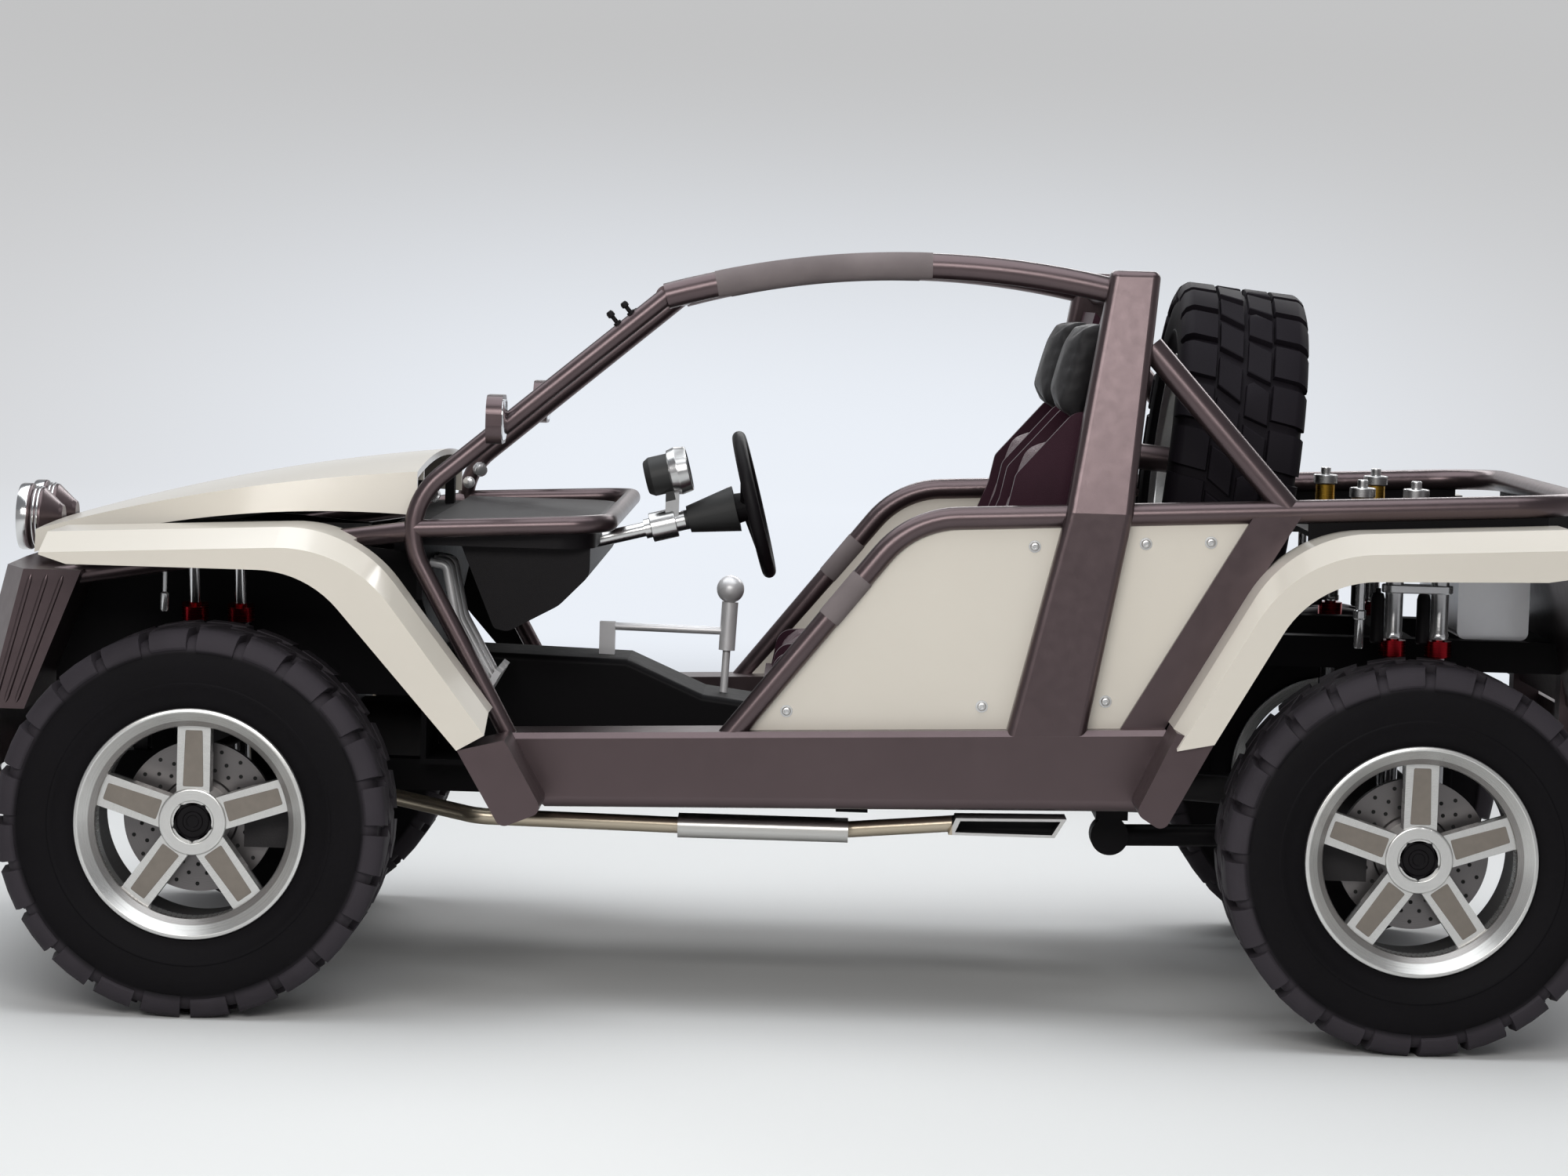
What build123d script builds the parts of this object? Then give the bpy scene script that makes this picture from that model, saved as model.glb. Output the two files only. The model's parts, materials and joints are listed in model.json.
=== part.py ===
from build123d import *
import os
from math import atan2, cos, degrees, radians, sin, sqrt, tan

# Open two-seat off-road concept car, millimetres.
# +X is forward, +Y is the car's left, +Z is up; the origin is on the ground under the middle of the car.

# Stance
WHEELBASE = 2600.0
FRONT_OVERHANG = 560.0
REAR_OVERHANG = 520.0
TRACK = 1540.0
KINGPIN_OFFSET = 58.0
SEAT_GAP = 0.3
RUNNING_GAP = 5.0

# Tyres, rims and brakes
TYRE_RADIUS = 414.0
TYRE_WIDTH = 290.0
TYRE_LUGS = 24
LUG_GROOVE = 18.0
LUG_DEPTH = 14.0
TREAD_WIDTH = 216.0
BEAD_RADIUS = 230.0
BEAD_WIDTH = 232.0
RIM_LIP_RADIUS = 246.0
RIM_LIP_WIDTH = 12.0
RIM_WALL = 14.0
SPOKE_COUNT = 5
SPOKE_WIDTH = 70.0
SPOKE_DEPTH = 46.0
SPOKE_FACE = 84.0
INSET_WIDTH = 36.0
INSET_DEPTH = 6.0
HUB_RADIUS = 72.0
HUB_INNER_FACE = -5.0
SPINDLE_RADIUS = 30.0
SPINDLE_END = 62.0
DISC_RADIUS = 162.0
DISC_THICKNESS = 20.0
DISC_HAT_RADIUS = 82.0
DISC_HAT_DEPTH = 4.0
CALIPER_WIDTH = 120.0
CALIPER_WALL = 18.0
UPRIGHT_HEIGHT = 230.0
UPRIGHT_DEPTH = 42.0

# Tube and box sections of the frame
PILLAR_TUBE = 20.0
ROOF_TUBE = 28.0
RAIL_TUBE = 25.0
STAY_TUBE = 28.0
FRONT_TUBE = 22.0
BELT_HEIGHT = 1080.0
BELT_RAKE = 0.050
RAIL_HALF_WIDTH = 640.0
ROOF_HALF_WIDTH = 580.0
HEADER_X = 316.0
HEADER_HEIGHT = 1555.0
ROOF_PEAK_HEIGHT = 1637.0
HOOP_WAIST_X = -632.0
HOOP_WAIST_HEIGHT = 1118.0
HOOP_RAKE = 0.125
HOOP_LEAN = 0.142
HOOP_TOP_HEIGHT = 1640.0

# Sills, floor and ladder frame
SILL_TOP = 628.0
SILL_TOP_RAKE = 0.035
SILL_BOTTOM = 460.0
SILL_BOTTOM_RAKE = 0.020
SILL_OUTER = 700.0
SILL_WIDTH = 140.0
SILL_FRONT_X = 640.0
SILL_REAR_X = -790.0
FLOOR_HEIGHT = 500.0
FLOOR_THICKNESS = 12.0
LADDER_HALF_WIDTH = 300.0
LADDER_BEAM_WIDTH = 60.0
LADDER_BEAM_HEIGHT = 70.0
LADDER_REAR_RISE = 340.0
FIREWALL_X = 830.0
BULKHEAD_X = -740.0
PANEL_THICKNESS = 12.0
TUNNEL_HALF_WIDTH = 130.0

# Body skins
FENDER_OUTER = 900.0
FENDER_BEVEL_START = 800.0
FENDER_BEVEL_DROP = 38.0
FENDER_INNER = 566.0
FENDER_SHEET = 22.0
TIP_INNER = 700.0
HOOD_SHEET = 14.0
HOOD_HINGE_X = 862.0
HOOD_HINGE_HEIGHT = 1120.0
HINGE_PIN = 6.0
HINGE_PIN_GAP = 0.3
HINGE_HALF_SPAN = 380.0
HINGE_LEAF = 12.0

# Cabin
SEAT_HALF_PITCH = 330.0
SEAT_WIDTH = 430.0
WHEEL_RIM_RADIUS = 153.0
WHEEL_GRIP = 15.0
WHEEL_X = 117.0
WHEEL_HEIGHT = 1096.0
COLUMN_TILT = 14.5
COLUMN_RADIUS = 22.0

# Places worked out from the sizes above
front_axle_x = (REAR_OVERHANG + WHEELBASE - FRONT_OVERHANG) / 2
rear_axle_x = front_axle_x - WHEELBASE
nose_x = front_axle_x + FRONT_OVERHANG
tail_x = rear_axle_x - REAR_OVERHANG
axle_z = TYRE_RADIUS
wheel_y = TRACK / 2
kingpin_y = wheel_y - KINGPIN_OFFSET
sill_inner = SILL_OUTER - SILL_WIDTH
hoop_top_x = HOOP_WAIST_X - HOOP_RAKE * (HOOP_TOP_HEIGHT - HOOP_WAIST_HEIGHT)
hoop_top_outer = SILL_OUTER - 6 - HOOP_LEAN * (HOOP_TOP_HEIGHT - HOOP_WAIST_HEIGHT)
disc_inner_face = HUB_INNER_FACE - DISC_HAT_DEPTH - DISC_THICKNESS
upright_face = wheel_y + disc_inner_face - RUNNING_GAP
ladder_top = FLOOR_HEIGHT
ladder_bottom = FLOOR_HEIGHT - LADDER_BEAM_HEIGHT
ladder_inner = LADDER_HALF_WIDTH - LADDER_BEAM_WIDTH / 2
ladder_outer = LADDER_HALF_WIDTH + LADDER_BEAM_WIDTH / 2
rear_ladder_top = ladder_top + LADDER_REAR_RISE
cabin_floor = FLOOR_HEIGHT + FLOOR_THICKNESS


def belt_height(x):
    """Height of the waist rail, which rises towards the tail."""
    return BELT_HEIGHT - BELT_RAKE * x


def sill_top(x):
    """Height of the sill's upper face."""
    return SILL_TOP - SILL_TOP_RAKE * x


def sill_bottom(x):
    """Height of the sill's lower face."""
    return SILL_BOTTOM - SILL_BOTTOM_RAKE * x


def side_plane(y):
    """Side-view drawing plane at y: its axes are X and Z, and it extrudes towards the car's right."""
    return Plane.XZ.offset(-y)


def cross_plane(x):
    """Front-view drawing plane at x: its axes are Y and Z, and it extrudes forward."""
    return Plane(origin=(x, 0, 0), x_dir=(0, 1, 0), z_dir=(1, 0, 0))


def rounded_face(plane, corners):
    """Face whose outline has rows of (across, up, corner radius) in the plane's own axes."""
    with BuildSketch(plane) as sketch:
        with BuildLine():
            FilletPolyline(
                *[(across, up) for across, up, _ in corners],
                radius=[radius for _, _, radius in corners],
                close=True,
            )
        make_face()
    return sketch.sketch


def plain_face(plane, outline):
    """Face with sharp corners at rows of (across, up)."""
    with BuildSketch(plane) as sketch:
        with BuildLine():
            Polyline(*outline, close=True)
        make_face()
    return sketch.sketch


def slab(low, high, mode=Mode.ADD):
    """Block between two opposite corners, joined to the part being built."""
    outline = ((low[0], low[2]), (high[0], low[2]), (high[0], high[2]), (low[0], high[2]))
    extrude(plain_face(side_plane(high[1]), outline), amount=high[1] - low[1], mode=mode)


def tube(points, bends, radius, mode=Mode.ADD):
    """Round tube along straight runs joined by tangent bends."""
    with BuildLine() as path:
        if bends:
            FilletPolyline(*points, radius=bends)
        else:
            Line(*points)
    with BuildSketch(Plane(path.line @ 0, z_dir=path.line % 0)) as ring:
        Circle(radius)
    sweep(ring.sketch, path=path.line, mode=mode)


def drum(x, y_outer, z, radius, width, mode=Mode.ADD):
    """Cylinder across the car, from y_outer towards the right by width."""
    with BuildSketch(side_plane(y_outer)) as disc:
        with Locations((x, z)):
            Circle(radius)
    extrude(disc.sketch, amount=width, mode=mode)


def turn(wheel, rows, mode=Mode.ADD):
    """Ring turned about a wheel's axle from rows of (radius, distance outward, corner radius)."""
    section = Plane(wheel.origin, x_dir=wheel.x_dir, z_dir=wheel.x_dir.cross(wheel.z_dir))
    revolve(rounded_face(section, rows), axis=Axis(wheel.origin, wheel.z_dir), mode=mode)


def finish(part, label):
    """Label a finished piece and write it to its own file."""
    part.label = label
    export_step(part, f"parts/{label}.step")


os.makedirs("parts", exist_ok=True)

# Wheels: tyre, rim and brake disc of each corner, and the spare behind the seats

half_tyre = TYRE_WIDTH / 2
half_tread = TREAD_WIDTH / 2
half_bead = BEAD_WIDTH / 2
rim_inside = BEAD_RADIUS - RIM_WALL
spoke_foot = rim_inside + RIM_WALL / 2
lip_face = half_bead + RIM_LIP_WIDTH

# radius of the polygon's corners, distance outward, of the tyre's outside and of its hollow
lug_angle = radians(180 / TYRE_LUGS)
tread_corner = TYRE_RADIUS + LUG_GROOVE / 2 * tan(lug_angle)
wall_corner = 0.80 * TYRE_RADIUS / cos(lug_angle)
lip_corner = (RIM_LIP_RADIUS + 4) / cos(lug_angle)
bead_corner = BEAD_RADIUS / cos(lug_angle)
TYRE_OUTSIDE = (
    (wall_corner, -half_tyre),
    (0.95 * tread_corner, -half_tyre + 8),
    (tread_corner, -half_tread),
    (tread_corner, half_tread),
    (0.95 * tread_corner, half_tyre - 8),
    (wall_corner, half_tyre),
)
TYRE_HOLLOW = (
    (wall_corner, -half_tyre),
    (lip_corner, -half_bead - 3),
    (bead_corner, -half_bead),
    (bead_corner, half_bead),
    (lip_corner, half_bead + 3),
    (wall_corner, half_tyre),
)
# radius, distance outward of the groove between two lugs
groove_floor = TYRE_RADIUS - LUG_DEPTH
GROOVE_SIDE = (
    (groove_floor, half_tread - 4),
    (0.95 * TYRE_RADIUS - 25, half_tyre + 5),
    (TYRE_RADIUS + 20, half_tyre + 5),
)
GROOVE_SECTION = GROOVE_SIDE + tuple((radius, -outward) for radius, outward in reversed(GROOVE_SIDE))
# radius, distance outward, corner radius
RIM_SECTION = (
    (BEAD_RADIUS - SEAT_GAP, half_bead + SEAT_GAP, 0),
    (RIM_LIP_RADIUS, half_bead + 3, 0),
    (RIM_LIP_RADIUS, lip_face, 3),
    (RIM_LIP_RADIUS - 8, lip_face + 2, 3),
    (rim_inside - 11, SPOKE_FACE + 12, 6),
    (rim_inside - 11, SPOKE_FACE - SPOKE_DEPTH, 6),
    (rim_inside, SPOKE_FACE - SPOKE_DEPTH - 20, 6),
    (rim_inside, -half_bead, 4),
    (RIM_LIP_RADIUS - 8, -lip_face, 2),
    (RIM_LIP_RADIUS, -lip_face, 2),
    (RIM_LIP_RADIUS, -half_bead - 3, 0),
    (BEAD_RADIUS - SEAT_GAP, -half_bead - SEAT_GAP, 0),
)
HUB_SECTION = (
    (SPINDLE_RADIUS + SEAT_GAP, HUB_INNER_FACE, 0),
    (HUB_RADIUS, HUB_INNER_FACE, 0),
    (HUB_RADIUS, SPOKE_FACE + 6, 5),
    (HUB_RADIUS - 26, SPOKE_FACE + 6, 2),
    (HUB_RADIUS - 30, SPOKE_FACE - 6, 2),
    (0, SPOKE_FACE - 6, 0),
    (0, SPINDLE_END + 2, 0),
    (SPINDLE_RADIUS + SEAT_GAP, SPINDLE_END + 2, 0),
)
DISC_SECTION = (
    (SPINDLE_RADIUS + 2, HUB_INNER_FACE, 0),
    (DISC_HAT_RADIUS, HUB_INNER_FACE, 0),
    (DISC_HAT_RADIUS + DISC_HAT_DEPTH, HUB_INNER_FACE - DISC_HAT_DEPTH, 0),
    (DISC_RADIUS, HUB_INNER_FACE - DISC_HAT_DEPTH, 0),
    (DISC_RADIUS, disc_inner_face, 0),
    (SPINDLE_RADIUS + 2, disc_inner_face, 0),
)


def lug_polygon(radius, outward):
    """Section across the tyre's axle with one side for each lug."""
    with BuildSketch(Plane.XY.offset(outward)) as sketch:
        RegularPolygon(radius, TYRE_LUGS)
    return sketch.sketch


with BuildPart() as groove:
    extrude(plain_face(Plane.XZ, GROOVE_SECTION), amount=LUG_GROOVE / 2, both=True)
with BuildPart() as tyre_form:
    loft([lug_polygon(*row) for row in TYRE_OUTSIDE], ruled=True)
    loft([lug_polygon(*row) for row in TYRE_HOLLOW], ruled=True, mode=Mode.SUBTRACT)
    with PolarLocations(0, TYRE_LUGS):
        add(groove.part, mode=Mode.SUBTRACT)


def build_rim(wheel, first_spoke, label):
    """Deep rim with box spokes, each with a long shallow recess in its face."""
    spoke_length = spoke_foot - HUB_RADIUS / 2
    inset_length = rim_inside - HUB_RADIUS - 48
    with BuildPart() as rim:
        turn(wheel, RIM_SECTION)
        with BuildSketch(wheel.offset(SPOKE_FACE - SPOKE_DEPTH)) as spokes:
            with PolarLocations(HUB_RADIUS / 2 + spoke_length / 2, SPOKE_COUNT, first_spoke):
                Rectangle(spoke_length, SPOKE_WIDTH)
        extrude(spokes.sketch, amount=SPOKE_DEPTH)
        turn(wheel, HUB_SECTION)
        turn(wheel, ((0, HUB_INNER_FACE, 0), (SPINDLE_RADIUS + SEAT_GAP, HUB_INNER_FACE, 0),
                     (SPINDLE_RADIUS + SEAT_GAP, SPINDLE_END + 2, 0), (0, SPINDLE_END + 2, 0)),
             mode=Mode.SUBTRACT)
        with BuildSketch(wheel.offset(SPOKE_FACE - INSET_DEPTH)) as insets:
            with PolarLocations(HUB_RADIUS + 16 + inset_length / 2, SPOKE_COUNT, first_spoke):
                RectangleRounded(inset_length, INSET_WIDTH, 6)
        extrude(insets.sketch, amount=2 * INSET_DEPTH, mode=Mode.SUBTRACT)
    finish(rim.part, label)


def build_disc(wheel, label):
    with BuildPart() as disc:
        turn(wheel, DISC_SECTION)
    finish(disc.part, label)


# corner name, axle x, side of the car
CORNERS = (
    ("front_left", front_axle_x, 1),
    ("front_right", front_axle_x, -1),
    ("rear_left", rear_axle_x, 1),
    ("rear_right", rear_axle_x, -1),
)
for corner, axle_x, side in CORNERS:
    hub_plane = Plane((axle_x, side * wheel_y, axle_z), x_dir=(1, 0, 0), z_dir=(0, side, 0))
    finish(hub_plane.location * tyre_form.part, f"tyre_{corner}")
    build_rim(hub_plane, -90 * side, f"rim_{corner}")
    build_disc(hub_plane, f"disc_{corner}")

SPARE_X = -945.0
SPARE_HEIGHT = 1200.0
SPARE_TILT = 5.7
spare_axis = Vector(-cos(radians(SPARE_TILT)), 0, -sin(radians(SPARE_TILT)))
spare_plane = Plane((SPARE_X, 0, SPARE_HEIGHT), x_dir=(0, 1, 0), z_dir=spare_axis)
finish(spare_plane.location * tyre_form.part, "spare_tyre")
build_rim(spare_plane, 90, "spare_rim")

# Steering knuckles with stub axle and brake caliper

caliper_outer = rim_inside - 12
caliper_slot = DISC_RADIUS + RUNNING_GAP
caliper_face = wheel_y + HUB_INNER_FACE + CALIPER_WALL
upright_back = upright_face - UPRIGHT_DEPTH


def add_caliper(axle_x, direction):
    """Caliper astride the left disc, on the side of the axle that direction gives, with its bracket."""
    near = axle_x + direction * 0.62 * DISC_RADIUS
    far = axle_x + direction * sqrt(caliper_outer**2 - (CALIPER_WIDTH / 2) ** 2)
    slot = axle_x + direction * caliper_slot
    low_z = axle_z - CALIPER_WIDTH / 2
    high_z = axle_z + CALIPER_WIDTH / 2
    back = upright_face - CALIPER_WALL
    slab((min(near, far), back, low_z), (max(near, far), caliper_face, high_z))
    slab((min(near, slot) - 1, upright_face, low_z - 1),
         (max(near, slot) + 1, caliper_face - CALIPER_WALL + RUNNING_GAP, high_z + 1), mode=Mode.SUBTRACT)
    slab((min(axle_x, near), back, axle_z - 42), (max(axle_x, near), upright_face, axle_z + 42))


with BuildPart() as knuckle_left:
    add_caliper(front_axle_x, -1)
    extrude(
        rounded_face(
            side_plane(upright_face),
            (
                (front_axle_x - 26, axle_z - UPRIGHT_HEIGHT / 2, 4),
                (front_axle_x + 26, axle_z - UPRIGHT_HEIGHT / 2, 4),
                (front_axle_x + 52, axle_z, 40),
                (front_axle_x + 26, axle_z + UPRIGHT_HEIGHT / 2, 4),
                (front_axle_x - 26, axle_z + UPRIGHT_HEIGHT / 2, 4),
                (front_axle_x - 52, axle_z, 40),
            ),
        ),
        amount=UPRIGHT_DEPTH,
    )
    drum(front_axle_x, wheel_y + SPINDLE_END, axle_z, SPINDLE_RADIUS, SPINDLE_END + wheel_y - upright_back)
finish(knuckle_left.part, "knuckle_left")

with BuildPart() as knuckle_right:
    mirror(knuckle_left.part, about=Plane.XZ)
finish(knuckle_right.part, "knuckle_right")

# Ladder frame with cross beams, arm brackets and rear kick-up

BEAM_XS = (560.0, -120.0, -690.0)
BEAM_LENGTH = 70.0
BEAM_HEIGHT = 60.0
GEARBOX_MOUNT_X = 600.0
GEARBOX_BOTTOM = 440.0
ARM_HALF_SPREAD = 150.0
ARM_BRACKET = 50.0
UPPER_PIVOT_HEIGHT = 600.0
ladder_front = nose_x - 140
ladder_rear = tail_x + 140
kick_start = BULKHEAD_X - 2 * PANEL_THICKNESS - 10
kick_end = kick_start - 0.7 * LADDER_REAR_RISE

with BuildPart() as chassis_rails:
    extrude(
        plain_face(
            side_plane(ladder_outer),
            (
                (ladder_front, ladder_bottom),
                (kick_start - 20, ladder_bottom),
                (kick_end - 20, rear_ladder_top - LADDER_BEAM_HEIGHT),
                (ladder_rear, rear_ladder_top - LADDER_BEAM_HEIGHT),
                (ladder_rear, rear_ladder_top),
                (kick_end, rear_ladder_top),
                (kick_start, ladder_top),
                (ladder_front, ladder_top),
            ),
        ),
        amount=LADDER_BEAM_WIDTH,
    )
    for pivot_x in (front_axle_x - ARM_HALF_SPREAD, front_axle_x + ARM_HALF_SPREAD):
        slab((pivot_x - ARM_BRACKET / 2, ladder_inner, ladder_top),
             (pivot_x + ARM_BRACKET / 2, ladder_outer, UPPER_PIVOT_HEIGHT + 40))
    for beam_x in BEAM_XS:
        slab((beam_x - BEAM_LENGTH / 2, LADDER_HALF_WIDTH, ladder_top - BEAM_HEIGHT),
             (beam_x + BEAM_LENGTH / 2, sill_inner, ladder_top))
    mirror(about=Plane.XZ)
    slab((GEARBOX_MOUNT_X - 40, -ladder_outer, GEARBOX_BOTTOM - 34),
         (GEARBOX_MOUNT_X + 40, ladder_outer, GEARBOX_BOTTOM - SEAT_GAP))
    for beam_x in (ladder_front - 70, kick_end - 330, ladder_rear + 40):
        beam_top = ladder_top if beam_x > 0 else rear_ladder_top
        slab((beam_x - 30, -ladder_inner, beam_top - LADDER_BEAM_HEIGHT), (beam_x + 30, ladder_inner, beam_top))
finish(chassis_rails.part, "chassis_rails")

# Sills: deep boxes with a chamfered top edge and a rounded lower edge

with BuildPart() as sills:
    extrude(
        plain_face(
            side_plane(SILL_OUTER),
            (
                (SILL_FRONT_X, sill_top(SILL_FRONT_X)),
                (SILL_REAR_X, sill_top(SILL_REAR_X)),
                (SILL_REAR_X + 50, sill_bottom(SILL_REAR_X)),
                (SILL_FRONT_X - 95, sill_bottom(SILL_FRONT_X)),
            ),
        ),
        amount=SILL_WIDTH,
    )
    outer_edges = sills.faces().sort_by(Axis.Y)[-1].edges().filter_by(lambda edge: edge.length > 900)
    fillet(outer_edges.sort_by(Axis.Z)[0], 26)
    chamfer(sills.faces().sort_by(Axis.Z)[-1].edges().sort_by(Axis.Y)[-1], 12)
    mirror(about=Plane.XZ)
finish(sills.part, "sills")

# Floor with the centre tunnel, firewall and rear bulkhead

TOE_HALF_WIDTH = 420.0
TUNNEL_WALL = 8.0
# x, height of the tunnel's top
TUNNEL_TOP = ((FIREWALL_X, 730.0), (400.0, 720.0), (225.0, 645.0), (-60.0, 610.0), (BULKHEAD_X, 610.0))

with BuildPart() as floor_pan:
    slab((BULKHEAD_X, -sill_inner, FLOOR_HEIGHT), (SILL_FRONT_X - 20, sill_inner, cabin_floor))
    slab((SILL_FRONT_X - 20, -TOE_HALF_WIDTH, FLOOR_HEIGHT), (FIREWALL_X, TOE_HALF_WIDTH, cabin_floor))
    extrude(
        plain_face(
            side_plane(TUNNEL_HALF_WIDTH),
            TUNNEL_TOP + ((BULKHEAD_X, FLOOR_HEIGHT), (FIREWALL_X, FLOOR_HEIGHT)),
        ),
        amount=2 * TUNNEL_HALF_WIDTH,
    )
    fillet(floor_pan.edges().filter_by(lambda edge: edge.center().Z > cabin_floor + 60
                                       and abs(abs(edge.center().Y) - TUNNEL_HALF_WIDTH) < 1
                                       and edge.length > 100), 16)
    extrude(
        plain_face(
            side_plane(TUNNEL_HALF_WIDTH - TUNNEL_WALL),
            tuple((x, z - TUNNEL_WALL) for x, z in TUNNEL_TOP)
            + ((BULKHEAD_X, FLOOR_HEIGHT - 1), (FIREWALL_X, FLOOR_HEIGHT - 1)),
        ),
        amount=2 * (TUNNEL_HALF_WIDTH - TUNNEL_WALL),
        mode=Mode.SUBTRACT,
    )
finish(floor_pan.part, "floor_pan")

FIREWALL_TOP = 1040.0
FIREWALL_SHOULDER = 880.0
FIREWALL_HALF_WIDTH = 590.0
with BuildPart() as firewall:
    extrude(
        plain_face(
            cross_plane(FIREWALL_X),
            (
                (-TOE_HALF_WIDTH, FLOOR_HEIGHT),
                (TOE_HALF_WIDTH, FLOOR_HEIGHT),
                (TOE_HALF_WIDTH, FIREWALL_SHOULDER - 60),
                (FIREWALL_HALF_WIDTH, FIREWALL_SHOULDER),
                (FIREWALL_HALF_WIDTH, FIREWALL_TOP),
                (-FIREWALL_HALF_WIDTH, FIREWALL_TOP),
                (-FIREWALL_HALF_WIDTH, FIREWALL_SHOULDER),
                (-TOE_HALF_WIDTH, FIREWALL_SHOULDER - 60),
            ),
        ),
        amount=PANEL_THICKNESS,
    )
    tunnel_mouth = TUNNEL_HALF_WIDTH - TUNNEL_WALL
    slab((FIREWALL_X - 1, -tunnel_mouth, FLOOR_HEIGHT - 1),
         (FIREWALL_X + PANEL_THICKNESS + 1, tunnel_mouth, TUNNEL_TOP[0][1] - TUNNEL_WALL), mode=Mode.SUBTRACT)
finish(firewall.part, "firewall")

BULKHEAD_TOP = 1090.0
with BuildPart() as bulkhead:
    slab((BULKHEAD_X - PANEL_THICKNESS, -sill_inner, FLOOR_HEIGHT), (BULKHEAD_X, sill_inner, BULKHEAD_TOP))
    fillet(bulkhead.edges().filter_by(Axis.X).group_by(Axis.Z)[-1], 60)
    slab((BULKHEAD_X - PANEL_THICKNESS - 1, -tunnel_mouth, FLOOR_HEIGHT - 1),
         (BULKHEAD_X + 1, tunnel_mouth, TUNNEL_TOP[-1][1] - TUNNEL_WALL), mode=Mode.SUBTRACT)
finish(bulkhead.part, "bulkhead")

# Main hoop: tapered box posts that lean back and inward, a top bar and a bar behind the seats

HARNESS_BAR_HEIGHT = 1200.0
# height, centre x, width along x, outer y, thickness across
HOOP_SECTIONS = (
    (sill_top(-530) - 20, -530.0, 172.0, SILL_OUTER, 92.0),
    (HOOP_WAIST_HEIGHT, HOOP_WAIST_X, 144.0, SILL_OUTER - 6, 88.0),
    (HOOP_TOP_HEIGHT, hoop_top_x, 108.0, hoop_top_outer, 74.0),
)
with BuildPart() as main_hoop:
    for lower, upper in zip(HOOP_SECTIONS, HOOP_SECTIONS[1:]):
        ends = []
        for height, centre, width, outer, thick in (lower, upper):
            with BuildSketch(Plane.XY.offset(height)) as post_section:
                with Locations((centre, outer - thick / 2)):
                    RectangleRounded(width, thick, 18)
            ends.append(post_section.sketch)
        loft(ends, ruled=True)
    fillet(main_hoop.faces().sort_by(Axis.Z)[-1].edges(), 16)
    mirror(about=Plane.XZ)
    bar_half = HOOP_SECTIONS[2][3] - HOOP_SECTIONS[2][4] / 2
    bar_height = HOOP_TOP_HEIGHT - 48
    tube(((hoop_top_x, -bar_half, bar_height), (hoop_top_x, bar_half, bar_height)), None, 30)
    harness_x = hoop_top_x + 40
    tube(((harness_x - 35, -640, HARNESS_BAR_HEIGHT), (harness_x - 35, 640, HARNESS_BAR_HEIGHT)), None, 22)
    add(sills.part, mode=Mode.SUBTRACT)
finish(main_hoop.part, "main_hoop")

# Windscreen pillars: one bent tube a side from sill to header, with the header between them

PILLAR_FOOT_X = 641.0
PILLAR_BEND_X = 891.0
PILLAR_BEND_HEIGHT = 1069.0
PILLAR_BEND = 160.0
pillar_foot_y = SILL_OUTER - 40
with BuildPart() as pillar_frame:
    tube(
        (
            (PILLAR_FOOT_X - 30, pillar_foot_y, sill_top(PILLAR_FOOT_X) - 40),
            (PILLAR_BEND_X, RAIL_HALF_WIDTH, PILLAR_BEND_HEIGHT),
            (HEADER_X, ROOF_HALF_WIDTH, HEADER_HEIGHT),
        ),
        (PILLAR_BEND,),
        PILLAR_TUBE,
    )
    mirror(about=Plane.XZ)
    tube(((HEADER_X, -ROOF_HALF_WIDTH, HEADER_HEIGHT), (HEADER_X, ROOF_HALF_WIDTH, HEADER_HEIGHT)), None, 24)
    add(sills.part, mode=Mode.SUBTRACT)
finish(pillar_frame.part, "pillar_frame")

with BuildPart() as roof_rails:
    with BuildLine() as roof_line:
        ThreePointArc(
            (HEADER_X, ROOF_HALF_WIDTH, HEADER_HEIGHT),
            (-205, ROOF_HALF_WIDTH, ROOF_PEAK_HEIGHT),
            (hoop_top_x, ROOF_HALF_WIDTH, HOOP_TOP_HEIGHT - 55),
        )
    with BuildSketch(Plane(roof_line.line @ 0, z_dir=roof_line.line % 0)) as roof_ring:
        Circle(ROOF_TUBE)
    sweep(roof_ring.sketch, path=roof_line.line)
    mirror(about=Plane.XZ)
    add(main_hoop.part, mode=Mode.SUBTRACT)
    add(pillar_frame.part, mode=Mode.SUBTRACT)
finish(roof_rails.part, "roof_rails")

DASH_BAR_X = 430.0
DASH_BAR_BEND = 90.0
dash_side = RAIL_HALF_WIDTH - 20
with BuildPart() as dash_hoop:
    tube(
        (
            (846, RAIL_HALF_WIDTH, belt_height(846)),
            (DASH_BAR_X, dash_side, belt_height(DASH_BAR_X)),
            (DASH_BAR_X, -dash_side, belt_height(DASH_BAR_X)),
            (846, -RAIL_HALF_WIDTH, belt_height(846)),
        ),
        (DASH_BAR_BEND, DASH_BAR_BEND),
        PILLAR_TUBE,
    )
    add(pillar_frame.part, mode=Mode.SUBTRACT)
finish(dash_hoop.part, "dash_hoop")

# Waist rails: from the sill up a diagonal, back along the bed and round the tail

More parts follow.
